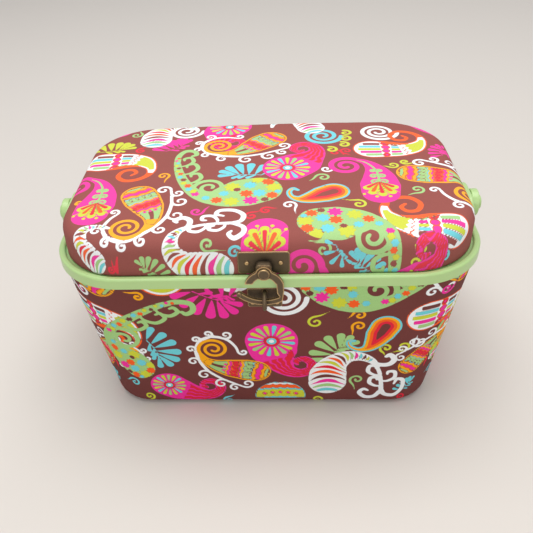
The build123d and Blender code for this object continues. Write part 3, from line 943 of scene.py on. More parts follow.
    def dome(self, radius: float) -> None:
        """Prints a half disc of scalloped bands.

        Args:
            radius: its radius.
        """
        middle = self.put((0, 0))[0]
        which = self.cloth.around(middle - radius, middle + radius)
        gap = self.cloth.spots[which] - middle
        outer = np.maximum(np.hypot(gap[:, 0], gap[:, 1] * 1.12) - radius, -gap[:, 1] - 3)
        self.cloth.paint(which, outer, Ink.AQUA)
        levels = (
            (0.2, 0.24, Ink.LIME), (0.54, 0.035, Ink.AQUA), (0.64, 0.1, Ink.ORANGE), (0.8, 0.04, Ink.WHITE),
            (0.9, 0.04, Ink.RED)
        )
        for level, half, ink in levels:
            scallop = 0.9 * np.abs(np.sin(gap[:, 0] * 0.62))
            wave = gap[:, 1] - level * radius + scallop + gap[:, 0] ** 2 * 0.006
            self.cloth.paint(which, np.maximum(np.abs(wave) - half * radius, outer + 0.7), ink)
        for k in (-2, -1, 0, 1, 2):
            for size, ink in ((1.9, Ink.GOLD), (1.1, Ink.PINK)):
                self.dot(k * radius * 0.31, radius * (0.2 - 0.02 * k * k), size, ink)


def print_lid(cloth: Cloth) -> None:
    """Prints the lid's cloth.

    Args:
        cloth: the cloth. X runs to the right and Y to the back, unfolded over the edges.
    """
    p = Press(cloth)
    i = Ink
    commas = (
        (-67, -5, 4.2, i.GOLD, 70, 1, 8), (-40, -51, 4.2, i.PINK, 250, -1, 7),
        (-31, -82, 4.4, i.LEAF, 190, -1, 9),
        (-16, -88, 4.2, i.AQUA, 130, 1, 6), (15, -47, 4.4, i.WHITE, 80, 1, 9),
        (37, -13.5, 4.8, i.LEAF, 60, -1, 9),
        (93, -29.5, 4.4, i.LEAF, 15, 1, 8), (56, -46.5, 4.6, i.LIME, 0, -1, 9),
        (33, -86.5, 4.8, i.LEAF, 0, -1, 9),
        (87, -86, 3.9, i.LIME, 80, 1, 9), (85.5, -96, 3.9, i.LIME, 60, 1, 6),
        (40, -1, 4.2, i.WHITE, 280, -1, 9),
        (83, 4, 4.0, i.LIME, 330, 1, 5), (92.5, 8.5, 3.4, i.LIME, 200, -1, 6),
        (-6.5, -58, 4.0, i.RED, 190, 1, 6),
        (2, -52.5, 3.8, i.RED, 160, 1, 5), (-92, -96, 3.2, i.RED, 280, -1, 6),
        (108, -88, 3.6, i.AQUA, 20, -1, 5),
        (-97, 66, 4.6, i.LEAF, 300, -1, 5), (-88, 37, 3.8, i.RED, 200, 1, 5), (48, 22, 4.4, i.RED, 100, 1, 5),
        (56, 25, 4.4, i.RED, 150, -1, 5), (-117, -36, 3.4, i.GOLD, 60, 1, 6),
        (-44, 84, 4.4, i.LEAF, 60, 1, 6),
        (24, 84, 4.4, i.GOLD, 160, 1, 6), (120, 22, 3.6, i.PINK, 80, 1, 6), (119, 78, 4.4, i.PINK, 80, 1, 6),
    )
    for x, y, radius, ink, heading, way, tail in commas:
        p.comma(x, y, radius, ink, heading, way, tail)
    for k, ink in enumerate((i.AQUA, i.PINK, i.LEAF, i.AQUA, i.WHITE)):
        p.spray((-98 + 46 * k, 103), 20 + 12 * k, 19, 20, ink, 1, 6)
        p.comma(-80 + 44 * k, 101, 4.2, (i.LIME, i.GOLD)[k % 2], 60 * k, 1, 6)
        p.coil((-138, -60 + 32 * k), 90, 6.5, 2.0, 1, ink, 1.3, 0.9)
    for x, turn in ((-60, 100), (64, 70)):
        p.at(x, 98, turn, False, 0.8).flame()
    p.stroke([(-87, -99), (-86, -93), (-84.5, -88)], [1.1, 1.0, 0.5], i.RED)
    p.coil((94, 57), 270, 13.5, 2.5, -1, i.WHITE, 1.5, 1.1)
    p.coil((54, 50), 262, 13.5, 2.2, -1, i.AQUA, 1.8, 1.2)
    for x, y in ((61, 60), (60, 50), (58, 40), (49, 32)):
        p.coil((x - 5, y), 10, 4.4, 1.2, -1, i.LIME, 1.1, 0.8)
    p.coil((-46, 66), 262, 12.5, 2.3, -1, i.WHITE, 1.5, 1.0)
    p.spray((-2, -8), 172, 29, 12, i.AQUA, -1, 7)
    p.spray((62, -103), 146, 21, -25, i.AQUA, -1, 7)
    p.spray((41, -84), 282, 15, 40, i.AQUA, -1, 5)
    p.spray((-62, -102), 150, 17, -20, i.LEAF, -1, 6)
    p.spray((-70, 34), 25, 25, 35, i.PINK, 1, 7)
    p.spray((-118, 38), 5, 26, 10, i.LIME, 1, 7)
    p.spray((118, 18), 70, 18, 10, i.PINK, 1, 6)
    p.stroke([(38, -113), (35.5, -105), (33, -98)], [3.6, 2.8, 2.1], i.PINK)
    p.coil((33, -98), 92, 11, 1.6, 1, i.PINK, 2.1, 1.4)
    p.at(-27, 72, -150).daisy()
    p.at(33, 66, 200, True, 0.8).shell(False)
    p.at(112, 84, 200, False, 0.9).vine()
    p.at(-112, 74, 60, False, 0.8).vine(False)
    p.at(3, 47, -72).banded()
    p.at(-80, 53, 0, False, 0.92).shell(False)
    p.at(-113, 21, 0, False, 0.93).fan()
    p.at(73, 28, 0, True, 0.9).fan()
    p.at(107, -70, 178, False, 0.93).fan()
    p.at(15, 1).daisy()
    p.at(-106, -48).vine()
    p.at(71, -32, 2).vine()
    p.at(2, -76, 180, False, 1.08).vine(False)
    p.at(-7, -28).flowered()
    p.at(37, -65.5, 160, False, 0.98).flowered(0.97)
    p.at(97, -8, 52).banded()
    p.at(-78, -30).banded()
    p.at(43, -31).flame()
    p.at(-29, -98.5, 85, False, 0.92).shell()
    p.at(-103, -89, 36, False, 0.72).shell(False)
    p.at(85, -115, 4).daisy()


def print_body(cloth: Cloth, step: float) -> None:
    """Prints one repeat of the body's cloth.

    Args:
        cloth: the cloth. X runs round the box from the middle of its front, and Y up it.
        step: how far the repeat is moved round the box.
    """
    p = Press(cloth, step)
    i = Ink
    commas = (
        (-95, 23, 4.4, i.AQUA, 40, -1, 5), (-76, 109, 3.6, i.GOLD, 0, -1, 8),
        (31, 85, 5.0, i.LIME, 200, 1, 10),
        (60, 26, 4.8, i.LEAF, 118, -1, 9), (56, 90, 4.2, i.GOLD, 60, -1, 5),
        (57, 80, 4.4, i.GOLD, 100, -1, 7),
        (76, 59, 4.2, i.LIME, 130, -1, 5), (85.5, 61, 4.2, i.LIME, 10, 1, 8),
        (104, 108, 4.0, i.PINK, 250, -1, 5),
        (97, 64, 5.2, i.WHITE, 250, 1, 5), (-28, 3, 4.2, i.AQUA, 200, 1, 6), (92, 6, 4.0, i.RED, 20, 1, 8),
        (-86, 8, 4.2, i.LIME, 30, 1, 6), (33, 4, 4.4, i.LIME, 10, 1, 6), (-110, 40, 4.2, i.RED, 80, 1, 6),
    )
    for x, y, radius, ink, heading, way, tail in commas:
        p.comma(x, y, radius, ink, heading, way, tail)
    for radius, ink in ((15.5, i.ORANGE), (14.4, i.WHITE), (12.8, i.LIME)):
        p.dot(-60, 125, radius, ink)
    for radius, ink in ((12, i.WHITE), (8.5, i.LEAF), (4, i.WHITE)):
        p.dot(-18, 124, radius, ink)
    p.coil((24.5, 106), 268, 14, 2.4, -1, i.WHITE, 1.6, 1.2)
    p.spray((-77, 69), 300, 30, -32, i.AQUA, 1, 7)
    p.spray((-42, 113), 325, 32, 20, i.PINK, -1, 7)
    p.spray((-30, 108), 350, 18, 30, i.PINK, 1, 4)
    p.spray((41, 46), 88, 29, -62, i.LEAF, 1, 8)
    p.spray((92, 14), 30, 16, 40, i.AQUA, 1, 6)
    p.at(-99, 119, 205, False, 0.95).banded()
    p.at(36, 117, 160, True, 1.05).flowered(0.85)
    p.at(-89, 43, -76, False, 0.96).flowered(0.78)
    p.at(-69, 21, -72, False, 0.94).daisy(0.84)
    p.at(8, 9).dome(17.5)
    p.at(3, 67, -121, False, 1.02).daisy()
    p.at(-10, 36, -130, False, 0.93).banded()
    p.at(73, 80, 43).flame()
    p.at(97, 87, 0, False, 0.88).fan()
    p.at(95, 42, 117, False, 0.8).banded()
    p.at(40, 24).shell()


# ---------------------------------------------------------------- meshes
@dataclass(frozen=True)
class Outline:
    """A rounded rectangle in plan, in millimetres."""

    half_x: float
    half_y: float
    corner: float

    def inset(self, depth: float) -> Outline:
        """Moves the outline inwards.

        Args:
            depth: how far.

        Returns:
            The moved outline.
        """
        return Outline(self.half_x - depth, self.half_y - depth, self.corner - depth)

    def edge(self, side: int, share: float, curved: bool) -> tuple[float, float, float, float]:
        """Returns a place on the outline and the outward direction there.

        Args:
            side: 0 front, 1 right, 2 back, 3 left.
            share: how far along the side's straight run or the corner after it.
            curved: whether it is on that corner.
        """
        run_x, run_y = self.half_x - self.corner, self.half_y - self.corner
        if curved:
            angle = math.radians(-90 + 90 * side + 90 * share)
            cx = run_x if side in (0, 1) else -run_x
            cy = -run_y if side in (0, 3) else run_y
            dx, dy = math.cos(angle), math.sin(angle)
            return cx + self.corner * dx, cy + self.corner * dy, dx, dy
        t = 2 * share - 1
        return (
            (t * run_x, -self.half_y, 0.0, -1.0),
            (self.half_x, t * run_y, 1.0, 0.0),
            (-t * run_x, self.half_y, 0.0, 1.0),
            (-self.half_x, -t * run_y, -1.0, 0.0),
        )[side]


def as_object(name: str, mesh: bmesh.types.BMesh) -> bpy.types.Object:
    """Makes an object of a mesh, which it frees.

    Args:
        name: the object's name.
        mesh: the mesh.

    Returns:
        The object.
    """
    data = bpy.data.meshes.new(name)
    mesh.to_mesh(data)
    mesh.free()
    data.shade_smooth()
    made = bpy.data.objects.new(name, data)
    bpy.context.scene.collection.objects.link(made)
    return made


class Skin:
    """A mesh grown loop by loop, where each point remembers its place on the flat cloth."""

    def __init__(self, name: str) -> None:
        """Starts an empty mesh.

        Args:
            name: the finished piece's name.
        """
        self.name = name
        self.mesh = bmesh.new()
        self.column = self.mesh.verts.layers.int.new("column")
        self.spot = self.mesh.verts.layers.float_vector.new("spot")

    def put(self, vert: bmesh.types.BMVert, place: tuple, spot: tuple) -> None:
        """Moves a point and notes its spot on the cloth.

        Args:
            vert: the point.
            place: where it goes, in millimetres.
            spot: its spot on the flat cloth.
        """
        vert.co = Vector(place) * MM
        vert[self.spot] = (spot[0], spot[1], 0.0)

    def start(self, places: list, spots: list) -> list:
        """Starts with one closed loop of points.

        Args:
            places: where each point goes, in millimetres.
            spots: each point's spot on the cloth.

        Returns:
            The loop's edges.
        """
        ring = bmesh.ops.create_circle(self.mesh, segments=len(places), radius=1.0)["verts"]
        for number, vert in enumerate(ring):
            vert[self.column] = number
            self.put(vert, places[number], spots[number])
        return list(self.mesh.edges)

    def grow(self, edges: list, places: list, spots: list) -> list:
        """Extrudes a loop of edges.

        Args:
            edges: the loop's edges.
            places: where each column's new point goes, in millimetres.
            spots: each column's spot on the cloth.

        Returns:
            The new loop's edges.
        """
        grown = bmesh.ops.extrude_edge_only(self.mesh, edges=edges)["geom"]
        fresh = {part for part in grown if isinstance(part, bmesh.types.BMVert)}
        for vert in fresh:
            self.put(vert, places[vert[self.column]], spots[vert[self.column]])
        edges = [part for part in grown if isinstance(part, bmesh.types.BMEdge)]
        return [edge for edge in edges if fresh.issuperset(edge.verts)]

    def build(self) -> tuple[bpy.types.Object, np.ndarray]:
        """Makes the mesh object and returns it with its spots on the cloth."""
        bmesh.ops.remove_doubles(self.mesh, verts=self.mesh.verts, dist=1e-6)
        bmesh.ops.holes_fill(self.mesh, edges=self.mesh.edges, sides=0)
        bmesh.ops.recalc_face_normals(self.mesh, faces=self.mesh.faces)
        spots = np.array([vert[self.spot][:2] for vert in self.mesh.verts])
        return as_object(self.name, self.mesh), spots


def loop_at(outline: Outline, columns: list, z: float) -> list:
    """Lays an outline at a height.

    Args:
        outline: the outline.
        columns: the places round it.
        z: the height.

    Returns:
        Its points.
    """
    return [(*outline.edge(*column)[:2], z) for column in columns]


def print_on(piece: bpy.types.Object, cloth: Cloth) -> None:
    """Stores a cloth's inks on its piece as three vector attributes.

    Args:
        piece: the piece.
        cloth: the printed cloth.
    """
    inks = list(Ink)
    for number, layer in enumerate(LAYERS):
        values = np.full((len(cloth.spots), 3), FAR)
        for axis, ink in enumerate(inks[number * 3:number * 3 + 3]):
            values[:, axis] = np.clip(cloth.far[ink], -FAR, FAR)
        attribute = piece.data.attributes.new(layer, "FLOAT_VECTOR", "POINT")
        attribute.data.foreach_set("vector", values.astype(np.float32).ravel())


@dataclass
class Pad:
    """A piece with a wide face laid as a grid inside a rounded rectangle, and sides grown from its border."""

    outline: Outline
    crown: float
    across: int
    deep: int

    def columns(self) -> list:
        """Returns the places round the piece, one for each point on the grid's border."""
        columns = []
        for side, count in ((0, self.across), (1, self.deep), (2, self.across), (3, self.deep)):
            run = 2 * ((self.outline.half_x if side % 2 == 0 else self.outline.half_y) - self.outline.corner)
            bend = math.pi / 4 * (self.outline.corner - self.crown)
            total = run + 2 * bend
            for i in range(count):
                place = total * i / count
                if place < bend:
                    columns.append(((side - 1) % 4, 0.5 + 0.5 * place / bend, True))
                elif place < bend + run:
                    columns.append((side, (place - bend) / run, False))
                else:
                    columns.append((side, 0.5 * (place - bend - run) / bend, True))
        return columns

    def column_of(self, a: float, b: float) -> float:
        """Finds which column a place on the grid's border belongs to.

        Args:
            a: steps from the left.
            b: steps from the front.

        Returns:
            The column, with the share of the way to the next.
        """
        if b < 0.01:
            return a
        if a > self.across - 0.01:
            return self.across + b
        if b > self.deep - 0.01:
            return self.across + self.deep + (self.across - a)
        return 2 * self.across + self.deep + (self.deep - b)

    def lay(self, skin: Skin, border: list, level: Callable[[float, float], float]) -> list:
        """Lays the face inside the border.

        Args:
            skin: the mesh it is laid in.
            border: the border's places.
            level: gives the height at a place.

        Returns:
            The grid's outer edges.
        """
        bmesh.ops.create_grid(skin.mesh, x_segments=self.across, y_segments=self.deep, size=1.0)
        count = len(border)
        for vert in skin.mesh.verts:
            u, v = vert.co.x, vert.co.y
            size = max(abs(u), abs(v), 1e-9)
            a, b = (u / size + 1) / 2 * self.across, (v / size + 1) / 2 * self.deep
            place = self.column_of(a, b)
            first = int(place + 1e-4)
            share = max(0.0, place - first)
            one, two = border[first % count], border[(first + 1) % count]
            x = (one[0] + (two[0] - one[0]) * share) * size
            y = (one[1] + (two[1] - one[1]) * share) * size
            vert[skin.column] = int(round(place)) % count
            skin.put(vert, (x, y, level(x, y)), (x, y))
        return [edge for edge in skin.mesh.edges if edge.is_boundary]


@dataclass
class LidCloth(Pad):
    """The padded lid: the printed cloth with the padding under it, in one closed piece."""

    outline: Outline = Outline(126.0, 82.0, 43.0)
    crown: float = 9.0
    across: int = 300
    deep: int = 196
    top: float = 149.0
    low: float = 123.2
    frame_top: float = 125.0
    shell_top: float = 141.2
    cloth: float = 0.85
    foam: float = 2.25

    def level(self, x: float, y: float) -> float:
        """Finds the height of the padded top, before its unevenness.

        Args:
            x: place across the lid.
            y: place from front to back.

        Returns:
            The height.
        """
        return self.top - 0.2 - (x * x + y * y) / 6000

    def padded_level(self, x: float, y: float) -> float:
        """Finds the height of the padded top with its unevenness.

        Args:
            x: place across the lid.
            y: place from front to back.

        Returns:
            The height.
        """
        fade = max(0.0, 1 - (x / 118) ** 6) * max(0.0, 1 - (y / 74) ** 6)
        return self.level(x, y) + 0.28 * fade * math.sin(x * 0.043 + 1.0) * math.sin(y * 0.061 + 0.4)

    def build(self) -> bpy.types.Object:
        """Builds the piece and prints it."""
        skin = Skin("lid_cloth")
        columns = self.columns()
        cap = self.outline.inset(self.crown)
        border = [cap.edge(*column) for column in columns]
        edges = self.lay(skin, border, self.padded_level)
        quarter = self.crown * math.pi / 2
        turns = np.linspace(0, math.pi / 2, 13)[1:]
        steps = [(math.sin(a), 1 - math.cos(a), a / (math.pi / 2), 0.0) for a in turns]
        steps += [(1.0, 1.0, 1.0, fall) for fall in np.linspace(0, 1, 15)[1:]]
        for out, drop, turn, fall in steps:
            places, spots = [], []
            for x, y, dx, dy in border:
                side = self.level(x, y) - self.crown - self.low
                z = self.level(x, y) - self.crown * drop - side * fall
                run = quarter * turn + side * fall
                places.append((x + dx * self.crown * out, y + dy * self.crown * out, z))
                spots.append((x + dx * run, y + dy * run))
            edges = skin.grow(edges, places, spots)
        blank = [BARE] * len(columns)
        over_frame = self.frame_top + 0.05
        inner = (
            (self.cloth, self.low), (self.cloth, over_frame), (self.foam, over_frame),
            (self.foam, 134.5), (3.2, 138.0), (5.6, 140.4), (8.9, self.shell_top),
        )
        for depth, z in inner:
            edges = skin.grow(edges, loop_at(self.outline.inset(depth), columns, z), blank)
        piece, spots = skin.build()
        cloth = Cloth(spots)
        print_lid(cloth)
        print_on(piece, cloth)
        return piece


@dataclass
class LidLining(Pad):
    """The quilted panel under the lid's ceiling."""

    outline: Outline = Outline(116.7, 72.7, 33.7)
    crown: float = 1.2
    across: int = 230
    deep: int = 144
    low: float = 136.35
    high: float = 138.9
    diamond: float = 30.0

    def quilt(self, x: float, y: float) -> float:
        """Finds the height of the quilted face, which looks down.

        Args:
            x: place across the lid.
            y: place from front to back.

        Returns:
            The height.
        """
        dip = 0.0
        for run in (x + y * 1.2, x - y * 1.2):
            gap = abs((run / self.diamond + 0.5) % 1.0 - 0.5) * self.diamond
            dip = max(dip, math.exp(-((gap / 1.7) ** 2)))
        return self.low + 0.95 * dip

    def build(self) -> bpy.types.Object:
        """Builds the panel."""
        skin = Skin("quilted_lining")
        columns = self.columns()
        border = [self.outline.inset(self.crown).edge(*column) for column in columns]
        edges = self.lay(skin, border, self.quilt)
        spots = [(0.0, 0.0)] * len(columns)
        for depth, z in ((0.4, self.low + 0.4), (0.0, self.low + 1.2), (0.0, self.high - 0.5),
                         (0.5, self.high)):
            edges = skin.grow(edges, loop_at(self.outline.inset(depth), columns, z), spots)
        return skin.build()[0]


@dataclass
class LidPocket:
    """The gathered pocket across the lid's lining, with an elastic casing along its open edge."""

    half: float = 97.6
    back: float = 60.4
    depth: float = 81.6
    casing: float = 9.0
    top: float = 136.0
    reach: float = 2.0
    gather: float = 0.75
    pleat: float = 7.4

    def place(self, u: float, v: float) -> tuple[float, float, float]:
        """Finds where a place of the cloth lies.

        Args:
            u: from -1 to 1 across.
            v: from 0 at the open edge to 1 at the sewn one.

        Returns:
            The place, in millimetres.
        """
        x = u * self.half
        run = v * self.depth
        held = 1 - u**10
        sewn = min(1.0, (self.depth - run) / 14)
        tight = 0.55 if run < self.casing else 1.0
        stitch = math.exp(-(((run - self.casing) / 0.9) ** 2)) + math.exp(-(((run - 1.8) / 0.7) ** 2))
        wave = math.sin(2 * math.pi * x / self.pleat + 0.9 * math.sin(x * 0.21) + 0.5 * math.sin(v * 5))
        ruffle = self.gather * tight * (0.55 + 0.45 * sewn) * (wave + 0.3 * math.sin(x * 1.9 + v * 3))
        bulge = self.reach * held * (0.35 + 0.65 * math.sin(math.pi * min(1.0, v + 0.25)) * sewn)
        z = self.top - bulge - held * ruffle * (1 - 0.5 * min(1.0, stitch)) + 0.45 * min(1.0, stitch) * held
        return x, self.back - self.depth + run, min(z, 136.15)

    def build(self) -> bpy.types.Object:
        """Builds the pocket."""
        mesh = bmesh.new()
        bmesh.ops.create_grid(mesh, x_segments=330, y_segments=74, size=1.0)
        for vert in mesh.verts:
            vert.co = Vector(self.place(vert.co.x, (vert.co.y + 1) / 2)) * MM
        log.info("pocket cloth: %.4f square metres", sum(face.calc_area() for face in mesh.faces))
        bmesh.ops.solidify(mesh, geom=mesh.faces[:], thickness=0.0004)
        bmesh.ops.recalc_face_normals(mesh, faces=mesh.faces)
        return as_object("gathered_pocket", mesh)


@dataclass
class PinCushion:
    """The stuffed pin cushion in the upper tray's front compartment."""

    square: float = 5.0
    tuft: float = 2.6
    button: float = 0.16
    folds: int = 8
    seam_at: float = 0.3
    seam_depth: float = 0.9

    def build(self) -> bpy.types.Object:
        """Builds the cushion in its node's box."""
        low, high = (Vector(corner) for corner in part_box("pin_cushion"))
        middle, half = (low + high) / 2, (high - low) / 2
        mesh = bmesh.new()
        bmesh.ops.create_cube(mesh, size=2.0)
        bmesh.ops.subdivide_edges(mesh, edges=mesh.edges[:], cuts=63, use_grid_fill=True)
        for vert in mesh.verts:
            u, v, w = vert.co
            size = sum(abs(share) ** self.square for share in (u, v, w)) ** (1 / self.square)
            u, v, w = u / size, v / size, w / size
            reach = math.hypot(u, v)
            angle = math.atan2(v, u)
            top = max(0.0, w) ** 2
            pull = math.exp(-((reach / self.button) ** 2)) + 0.16 * reach * math.cos(angle * self.folds)
            dip = top * self.tuft * MM * pull
            seam = math.exp(-(((w - self.seam_at) / 0.05) ** 2)) * self.seam_depth * MM
            pinch = 1 - 0.035 * (1 - w * w) * (1 - abs(abs(u) - abs(v)))
            x = middle.x + (half.x - seam) * u * pinch
            y = middle.y + (half.y - seam) * v * pinch
            vert.co = (x, y, max(low.z, middle.z + half.z * w * (1.0 if w > 0 else 1.08) - max(0.0, dip)))
        bmesh.ops.recalc_face_normals(mesh, faces=mesh.faces)
        return as_object("stuffed_cushion", mesh)


@dataclass
class BodyCloth:
    """The printed cloth glued round the tapered body and turned in under its base."""

    width: float = 262.0
    depth: float = 174.0
    high: float = 119.0
    top_inset: float = 1.6
    taper: float = 18.5
    top_corner: float = 44.4
    base_corner: float = 28.0
    edge: float = 7.0
    turn_in: float = 13.0
    cloth: float = 0.8
    rows: int = 132
    counts: tuple = (180, 60, 76, 44, 90, 44, 76, 60)

    def outline(self, z: float, layer: float = 0.0) -> Outline:
        """Finds the wall's outline at a height.

        Args:
            z: the height.
            layer: how far in from the cloth's face.

        Returns:
            The outline.
        """
        drop = (self.high - z) / self.high
        inset = self.top_inset + self.taper * drop + layer
        corner = self.top_corner + (self.base_corner - self.top_corner) * drop - layer
        return Outline(self.width / 2 - inset, self.depth / 2 - inset, corner)

    def columns(self) -> tuple[list, list]:
        """Returns the places round the body and how far round the box each is."""
        middle = self.outline(self.high / 2)
        bend = math.pi / 2 * middle.corner
        runs = [2 * (middle.half_x - middle.corner), bend, 2 * (middle.half_y - middle.corner), bend] * 2
        columns, around = [], []
        place = -runs[0] / 2
        for number, (run, count) in enumerate(zip(runs, self.counts)):
            for i in range(count):
                columns.append((number // 2, i / count, number % 2 == 1))
                around.append(place + run * i / count)
            place += run
        total = sum(runs)
        return columns, [a - total if a > total / 2 else a for a in around]

    def build(self) -> bpy.types.Object:
        """Builds the piece and prints it."""
        skin = Skin("body_cloth")
        columns, around = self.columns()
        slope = math.atan2(self.taper, self.high)
        start = self.edge * math.tan((math.pi / 2 - slope) / 2)
        low = start * math.cos(slope)
        base = self.outline(0.0)
        loops = [(self.outline(z), z, z) for z in np.linspace(self.high, low, self.rows + 1)]
        for angle in np.linspace(slope, math.pi / 2, 9)[1:]:
            inset = start - self.edge * math.cos(angle)
            z = max(0.0, self.edge * (1 - math.sin(angle)))
            loops.append((base.inset(inset), z, low - self.edge * (angle - slope)))
        loops += [(base.inset(self.turn_in), 0.0, -14.0), (base.inset(self.turn_in), 0.75, -15.0)]
        layer = self.cloth - 0.05
        loops += [(base.inset(start + 1.2), 0.75, None), (base.inset(1.9), 3.2, None)]
        loops += [(self.outline(z, layer), z, None) for z in (8.0, 60.0, self.high)]
        loops.append((self.outline(self.high), self.high, self.high))
        edges = None
        for outline, z, height in loops:
            spots = [BARE if height is None else (s, height) for s in around]
            places = loop_at(outline, columns, z)
            edges = skin.start(places, spots) if edges is None else skin.grow(edges, places, spots)
        piece, spots = skin.build()
        cloth = Cloth(spots)
        for step in (-2 * REPEAT, -REPEAT, REPEAT, 2 * REPEAT, 0.0):
            print_body(cloth, step)
        print_on(piece, cloth)
        return piece


@dataclass
class BodyLining(BodyCloth):
    """The lining cloth glued inside the body, down its walls and over its floor."""

    counts: tuple = (90, 30, 38, 26, 50, 26, 38, 30)
    outer: float = 3.2
    inner: float = 3.75
    floor: float = 3.25

    def build(self) -> bpy.types.Object:
        """Builds the lining as a thin closed shell."""
        skin = Skin("body_lining_cloth")
        columns, _ = self.columns()
        spots = [(0.0, 0.0)] * len(columns)
        thick = self.inner - self.outer
        bend = 6.0
        loops = []
        for layer, base in ((self.inner, self.floor + thick), (self.outer, self.floor)):
            foot = self.outline(base + bend, layer)
            run = [(foot.inset(depth), base) for depth in (26.0, 18.0, 10.0, 7.0)]
            for angle in np.linspace(0, math.pi / 2, 6):
                run.append((foot.inset(bend * (1 - math.sin(angle))), base + bend * (1 - math.cos(angle))))
            run += [(self.outline(z, layer), z) for z in np.linspace(base + bend + 3, self.high - 0.4, 24)]
            loops += run if not loops else run[::-1]
        edges = None
        for outline, z in loops:
            places = loop_at(outline, columns, z)
            edges = skin.start(places, spots) if edges is None else skin.grow(edges, places, spots)
        return skin.build()[0]


# ---------------------------------------------------------------- finishes
@dataclass(frozen=True)
class PrintedCotton:
    """Printed cotton with a plain weave, which can carry painted top light as a paler ground and paler inks.
    """

    name: str
    ground: tuple = GROUND
    # painted top light: how far the ground and the inks are paled towards white
    painted_top_light: float = 0.0
    threads: float = 9000.0

    def build(self) -> bpy.types.Material:
        """Builds the material; the paling amount lightens the ground and the inks as painted top light,
        standing in for strong light from above.
        """
        s = Shader(self.name)
        parts = []
        for layer in LAYERS:
            vector = s.node("ShaderNodeAttribute", {"attribute_name": layer}, output="Vector")
            parts += [s.node("ShaderNodeSeparateXYZ", inputs={0: vector}, output=axis) for axis in range(3)]
        wander = s.noise(900.0, 1.0) - 0.5
        colour = s.mix(s.noise(30.0, 3.0), self.pale(self.ground, 0.9), self.pale(self.ground, 1.12))
        for ink, distance in zip(Ink, parts):
            mask = (0.5 - (distance + wander * 0.12) * 3.6).clamp()
            colour = s.mix(mask, colour, self.pale(ink.value, 1.0))
        place = s.place()
        x, y, z = (s.node("ShaderNodeSeparateXYZ", inputs={0: place}, output=axis) for axis in range(3))
        weave = (x * self.threads).sine() * (y * self.threads + z * self.threads).sine()
        grain = s.noise(2600.0, 2.0)
        shade = (grain - 0.5) * 0.34 + 1.0
        colour = s.node("ShaderNodeVectorMath", {"operation": "SCALE"}, {0: colour, "Scale": shade})
        bump = s.bump(weave * 0.5 + grain, 0.25, 0.00012)
        return s.finish(Base_Color=colour, Roughness=0.85, Normal=bump, Specular_IOR_Level=0.2)

    def pale(self, colour: tuple, gain: float) -> tuple:
        """Pales a colour by this finish's painted top light.

        Args:
            colour: the colour.
            gain: what it is multiplied by first.

        Returns:
            The paled colour.
        """
        return tuple(min(1.0, c * gain + (1 - c * gain) * self.painted_top_light) for c in colour)


@dataclass(frozen=True)
class Plastic:
    """Moulded plastic."""

    name: str
    colour: tuple
    roughness: float = 0.32

    def build(self) -> bpy.types.Material:
        """Builds the material."""
        s = Shader(self.name)
        tone = s.noise(60.0, 3.0)
        colour = s.mix(tone, tuple(c * 0.96 for c in self.colour),
                       tuple(min(1, c * 1.04) for c in self.colour))
        bump = s.bump(s.noise(700.0, 2.0), 0.03, 0.0002)
        return s.finish(
            Base_Color=colour, Roughness=(tone - 0.5) * 0.1 + self.roughness, Normal=bump,
            Coat_Weight=0.15, Coat_Roughness=0.2,
        )


@dataclass(frozen=True)
class AntiqueBrass:
    """Stamped brass, darkened by patina in its own hollows and by painted shade where other parts close over
    it, and rubbed bright on its edges.
    """

    name: str = "antique_brass"

    def build(self) -> bpy.types.Material:
        """Builds the material."""
        s = Shader(self.name)
        blotch = s.noise(260.0, 4.0)
        fine = s.noise(1500.0, 3.0)
        edge = s.node("ShaderNodeAmbientOcclusion", {"inside": True, "only_local": True, "samples": 12},
                      {"Distance": 0.0011}, output="AO")
        # patina and painted shade: occlusion within 5 mm by every part, not only by the brass itself, darkens
        # the colour
        patina_and_shade = s.node("ShaderNodeAmbientOcclusion", {"only_local": False, "samples": 12},
                        {"Distance": 0.005}, output="AO")
        worn = ((0.86 - edge) * 3.4 + (blotch - 0.5) * 0.5).clamp()
        open_face = ((patina_and_shade - 0.35) * 1.9 + (blotch - 0.5) * 0.8).clamp()
        # dark where occluded: patina in the brass's own hollows, painted shade between it and other parts
        ground = s.mix(open_face, (0.022, 0.017, 0.013), (0.155, 0.112, 0.070))
        colour = s.mix(worn, ground, (0.64, 0.43, 0.21))
        rough = 0.6 - worn * 0.24 + (fine - 0.5) * 0.2
        bump = s.bump(fine + blotch, 0.18, 0.0003)
        return s.finish(Base_Color=colour, Metallic=0.92, Roughness=rough, Normal=bump)


@dataclass(frozen=True)
class Plain:
    """Any plain finish with a little grain."""

    name: str
    colour: tuple
    roughness: float
    scale: float = 800.0
    metallic: float = 0.0
    bump: float = 0.1
    sheen: float = 0.0

    def build(self) -> bpy.types.Material:
        """Builds the material."""
        s = Shader(self.name)
        grain = s.noise(self.scale, 3.0)
        colour = s.mix(grain, tuple(c * 0.85 for c in self.colour),
                       tuple(min(1, c * 1.12) for c in self.colour))
        return s.finish(
            Base_Color=colour, Roughness=self.roughness, Metallic=self.metallic,
            Normal=s.bump(grain, self.bump, 0.0003), Sheen_Weight=self.sheen,
        )


